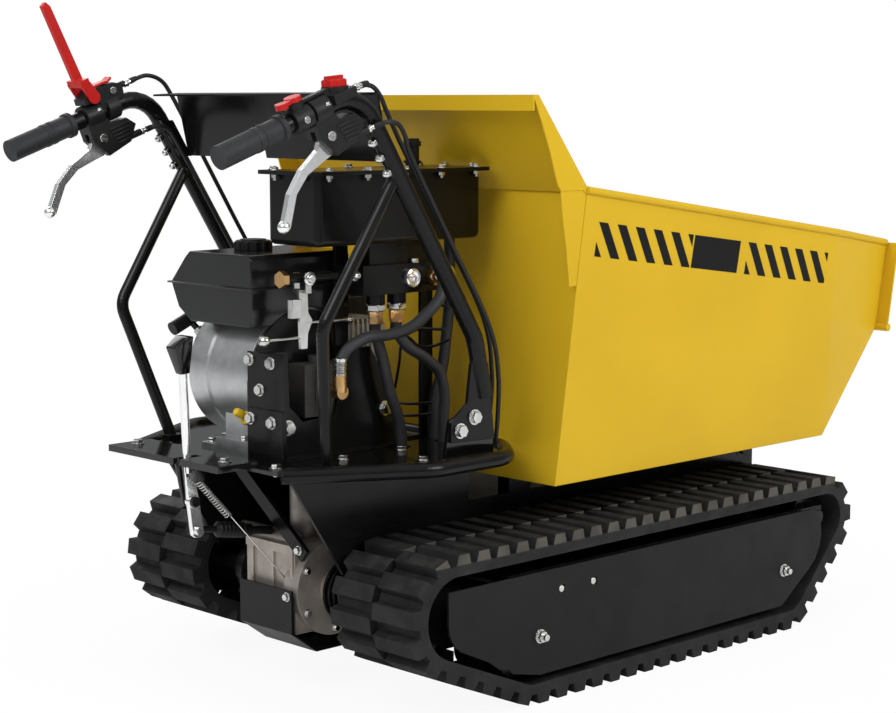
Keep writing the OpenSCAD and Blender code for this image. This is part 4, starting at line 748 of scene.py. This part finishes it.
def on_grip(side, along, across, up):
    """A point of the grip's own frame: along the grip, across the carrier and away from the grip."""
    x = along * math.cos(GRIP_SLOPE) - up * math.sin(GRIP_SLOPE)
    z = along * math.sin(GRIP_SLOPE) + up * math.cos(GRIP_SLOPE)
    return at(GRIP_CORNER[0] + x, side * GRIP_CORNER[1] + across, GRIP_CORNER[2] + z)


def hex_head(shape, place, radius):
    """Adds a washer and a hexagonal bolt head to a shape, along the placing's z axis."""
    washer = 0.25 * radius
    disc = [(1.2 * radius, 0.0), (1.25 * radius, 0.05 * radius), (1.25 * radius, washer)]
    turned(shape, disc, place, 28)
    top = washer + 0.75 * radius
    head = [(radius, 0.8 * washer), (radius, top), (0.86 * radius, top + 0.1 * radius)]
    turned(shape, head, place, 6)


def slotted_head(shape, place, radius):
    """Adds a flat screw head to a shape, cut across by a straight slot."""
    turned(shape, [(radius, 0.0), (radius, 0.3 * radius)], place, 28)
    start = math.asin(SLOT_SHARE)
    turn = (math.pi - 2 * start) / SLOT_STEPS
    for side in (-1, 1):
        low = []
        high = []
        for k in range(SLOT_STEPS + 1):
            x = radius * math.cos(start + turn * k)
            y = radius * math.sin(start + turn * k)
            inset = max(SLOT_SHARE * radius, 0.94 * y)
            low.append(shape.verts.new(place @ Vector((x, side * y, 0.28 * radius))))
            high.append(shape.verts.new(place @ Vector((0.94 * x, side * inset, 0.5 * radius))))
        loft(shape, [low, high])


def make_perch_ribs():
    """Moulded ribs across the right face of each lever perch."""
    shape = bmesh.new()
    for side, along in PERCHES:
        for k in range(5):
            up = -29 - 6.2 * k
            start = on_grip(side, along + 15 + 2.2 * k, -15, up)
            end = on_grip(side, along + 54 - 1.2 * k, -15, up)
            length = (end - start).length
            bar = [(0.0013, 0.0), (0.0019, 0.001), (0.0019, length - 0.001), (0.0013, length)]
            turned(shape, bar, frame_along(start, end - start), 12)
    mesh_piece("perch_ribs", shape, "black_plastic")


def make_latch_strip():
    """The red latch over the clutch bracket, with its turned-up thumb edge."""
    shape = bmesh.new()
    sections = [(-102, 40.8), (-92, 42.0), (-80, 42.4), (-66, 41.4), (-58, 45.0)]
    outline = [(-9, -2.6), (9, -2.6), (9, 1.2), (-9, 1.2)]
    loft(shape, [[shape.verts.new(on_grip(1, along, across, up + lift)) for across, lift in outline]
                 for along, up in sections])
    mesh_piece("latch_strip", shape, "red_plastic", soften=0.001)


KNOB_PROFILE = ((-7.8, 0), (7.8, 0), (12.5, 56), (0, 56), (-20, 41.5))
KNOB_HALF = 7.8
KNOB_TAPER = 0.135
KNOB_ROUNDING = 0.0022


def make_gear_knob():
    """The gear lever's moulded knob: a wedge that widens upwards, its top sloping towards the driver."""
    foot = at(*SHIFT_ELBOW) + SHIFT_ROD * SHIFT_WAY
    across = Vector((0, 1, 0))
    forward = across.cross(SHIFT_WAY)
    shape = bmesh.new()
    sides = []
    for side in (1, -1):
        corners = []
        for along, height in KNOB_PROFILE:
            out = side * (KNOB_HALF + KNOB_TAPER * height)
            offset = along * forward + out * across + height * SHIFT_WAY
            corners.append(shape.verts.new(foot + MM * offset))
        sides.append(corners)
    loft(shape, sides)
    bmesh.ops.recalc_face_normals(shape, faces=shape.faces[:])
    bmesh.ops.bevel(shape, geom=shape.edges[:], offset=KNOB_ROUNDING, segments=3, profile=0.5,
                    affect="EDGES")
    knob = mesh_piece("gear_knob", shape, "deck_gloss", "gear_lever")
    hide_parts("shift_knob")


TANK_X = (-302, -108)
TANK_STEPS = 48
TANK_FLOOR = 580
TANK_KNEE = 600
# The engine's drum under the tank: its axis, as x and z, and its radius with clearance
DRUM = (-195, 500, 104.4)


def tank_slice(x):
    """The fuel tank's outline at one length: its underside rises over the engine's drum."""
    reach = DRUM[2] ** 2 - (x - DRUM[0]) ** 2
    low = max(TANK_FLOOR, DRUM[1] + math.sqrt(reach)) if reach > 0 else TANK_FLOOR
    rise = low - TANK_FLOOR
    share = rise / (DRUM[1] + DRUM[2] - TANK_FLOOR)
    left = 92 + rise * 1.5 if low <= TANK_KNEE else 122 + (low - TANK_KNEE) * 18 / 38
    return [(-56 - rise * 4 / 58, low), (left, low), (122 + 4.6 * share, TANK_KNEE + 9.7 * share),
            (140, 637), (140, 639), (104, 678), (92, 688), (-50, 688), (-58, 682), (-60, 638)]


def make_fuel_tank():
    """The moulded fuel tank, with rounded edges and its welded seam."""
    shape = bmesh.new()
    slices = []
    for k in range(TANK_STEPS + 1):
        x = TANK_X[0] + (TANK_X[1] - TANK_X[0]) * k / TANK_STEPS
        slices.append([shape.verts.new(at(x, y, z)) for y, z in tank_slice(x)])
    loft(shape, slices)
    block(shape, (at(-307, -65, 636.5), at(-103, 145, 639.5)), Matrix.Identity(4))
    tank = mesh_piece("fuel_tank_shell", shape, "tank_plastic", soften=0.005)
    tank.modifiers["soften"].segments = 4
    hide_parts("fuel_tank")


def make_dipstick():
    """The engine's yellow dipstick cap in the oil filler."""
    profile = [(0.0066, -0.010), (0.0066, 0.004), (0.0105, 0.005), (0.0112, 0.007), (0.0112, 0.013),
               (0.0062, 0.0145), (0.0052, 0.022), (0.0066, 0.0235), (0.0066, 0.033), (0.0050, 0.036)]
    shape = bmesh.new()
    turned(shape, profile, frame_along(at(-284, -34, 436), (-0.86, 0, 0.5)), 24)
    mesh_piece("oil_dipstick", shape, "dipstick_yellow")


def make_selector_rod():
    """The selector rod from the gear lever's foot, with a bellows before the gearbox."""
    profile = [(0.0078, 0.0), (0.0086, 0.001), (0.0086, 0.012), (0.0050, 0.014), (0.0050, 0.050),
               (0.0080, 0.052)]
    for ring in range(7):
        base = 0.054 + ring * 0.0075
        profile += [(0.0125, base + 0.0018), (0.0125, base + 0.0032), (0.0088, base + 0.0052),
                    (0.0088, base + 0.0064)]
    profile += [(0.0100, 0.109), (0.0100, 0.118), (0.0066, 0.120), (0.0066, 0.160)]
    start, end = at(-376, 5, 277), at(-210, 5, 250)
    shape = bmesh.new()
    turned(shape, profile, frame_along(start, end - start), 28)
    mesh_piece("selector_rod", shape, "black_plastic")


FLANGE = (-153, -72, 164)
FLANGE_BOLTS = 6
FLANGE_BOLT_R = 66
ENGINE_FEET = ((-291, 56, 394), (-291, -24, 406), (-99, 56, 394))


def make_bolts():
    """Bolt heads of the gearbox flange, the guard, the strap and the engine feet."""
    shape = bmesh.new()
    x, y, z = FLANGE
    for k in range(FLANGE_BOLTS):
        a = 2 * math.pi * (k + 0.5) / FLANGE_BOLTS
        place = at(x + FLANGE_BOLT_R * math.cos(a), y, z + FLANGE_BOLT_R * math.sin(a))
        hex_head(shape, frame_along(place, (0, -1, 0)), 0.0052)
    hex_head(shape, frame_along(at(-240, -60, 160), (-1, 0, 0)), 0.0058)
    hex_head(shape, frame_along(at(-234, -82, 235.5), (-1, 0, 0)), 0.006)
    for foot in ENGINE_FEET:
        hex_head(shape, frame_along(at(*foot), (0, 0, 1)), 0.0062)
    mesh_piece("frame_bolts", shape, "zinc")


ADJUSTER_X = (67.5, 140.5)
ADJUSTER_Y = 337.5
ADJUSTER_Z = 172


def make_adjusters():
    """Plated heads of the track adjusters, seen through the windows of the cover plates."""
    head = [(0.0050, 0.0), (0.0058, 0.001), (0.0058, 0.0115), (0.0052, 0.0125), (0.0030, 0.0128)]
    shape = bmesh.new()
    for side in (-1, 1):
        for x in ADJUSTER_X:
            place = frame_along(at(x, side * ADJUSTER_Y, ADJUSTER_Z), (0, side, 0))
            turned(shape, head, place, 24)
    mesh_piece("track_adjusters", shape, "zinc")


def make_control_screws():
    """Pivot screws and clamp screws of the lever perches, the clutch bracket and the throttle."""
    shape = bmesh.new()
    for side, along in PERCHES:
        slotted_head(shape, frame_along(on_grip(side, along, -15, -37), (0, -1, 0)), 0.0072)
        up = on_grip(side, 0, 0, 1) - on_grip(side, 0, 0, 0)
        for across in (-16.5, 16.5):
            hex_head(shape, frame_along(on_grip(side, along + 8, across, 6), up), 0.0042)
    slotted_head(shape, frame_along(on_grip(1, -66, -14, 26), (0, -1, 0)), 0.0058)
    slotted_head(shape, frame_along(on_grip(-1, -118, -18.4, 0), (0, -1, 0)), 0.0052)
    mesh_piece("control_screws", shape, "zinc")


make_perch_ribs()
make_latch_strip()
make_gear_knob()
make_fuel_tank()
make_dipstick()
make_selector_rod()
make_bolts()
make_adjusters()
make_control_screws()
make_unions()
make_valve_caps()
make_lever_link()
make_soft_lines()
make_wires()
make_ferrules()
make_cable_ends()
make_spring()
make_stripes()
dress_nodes()
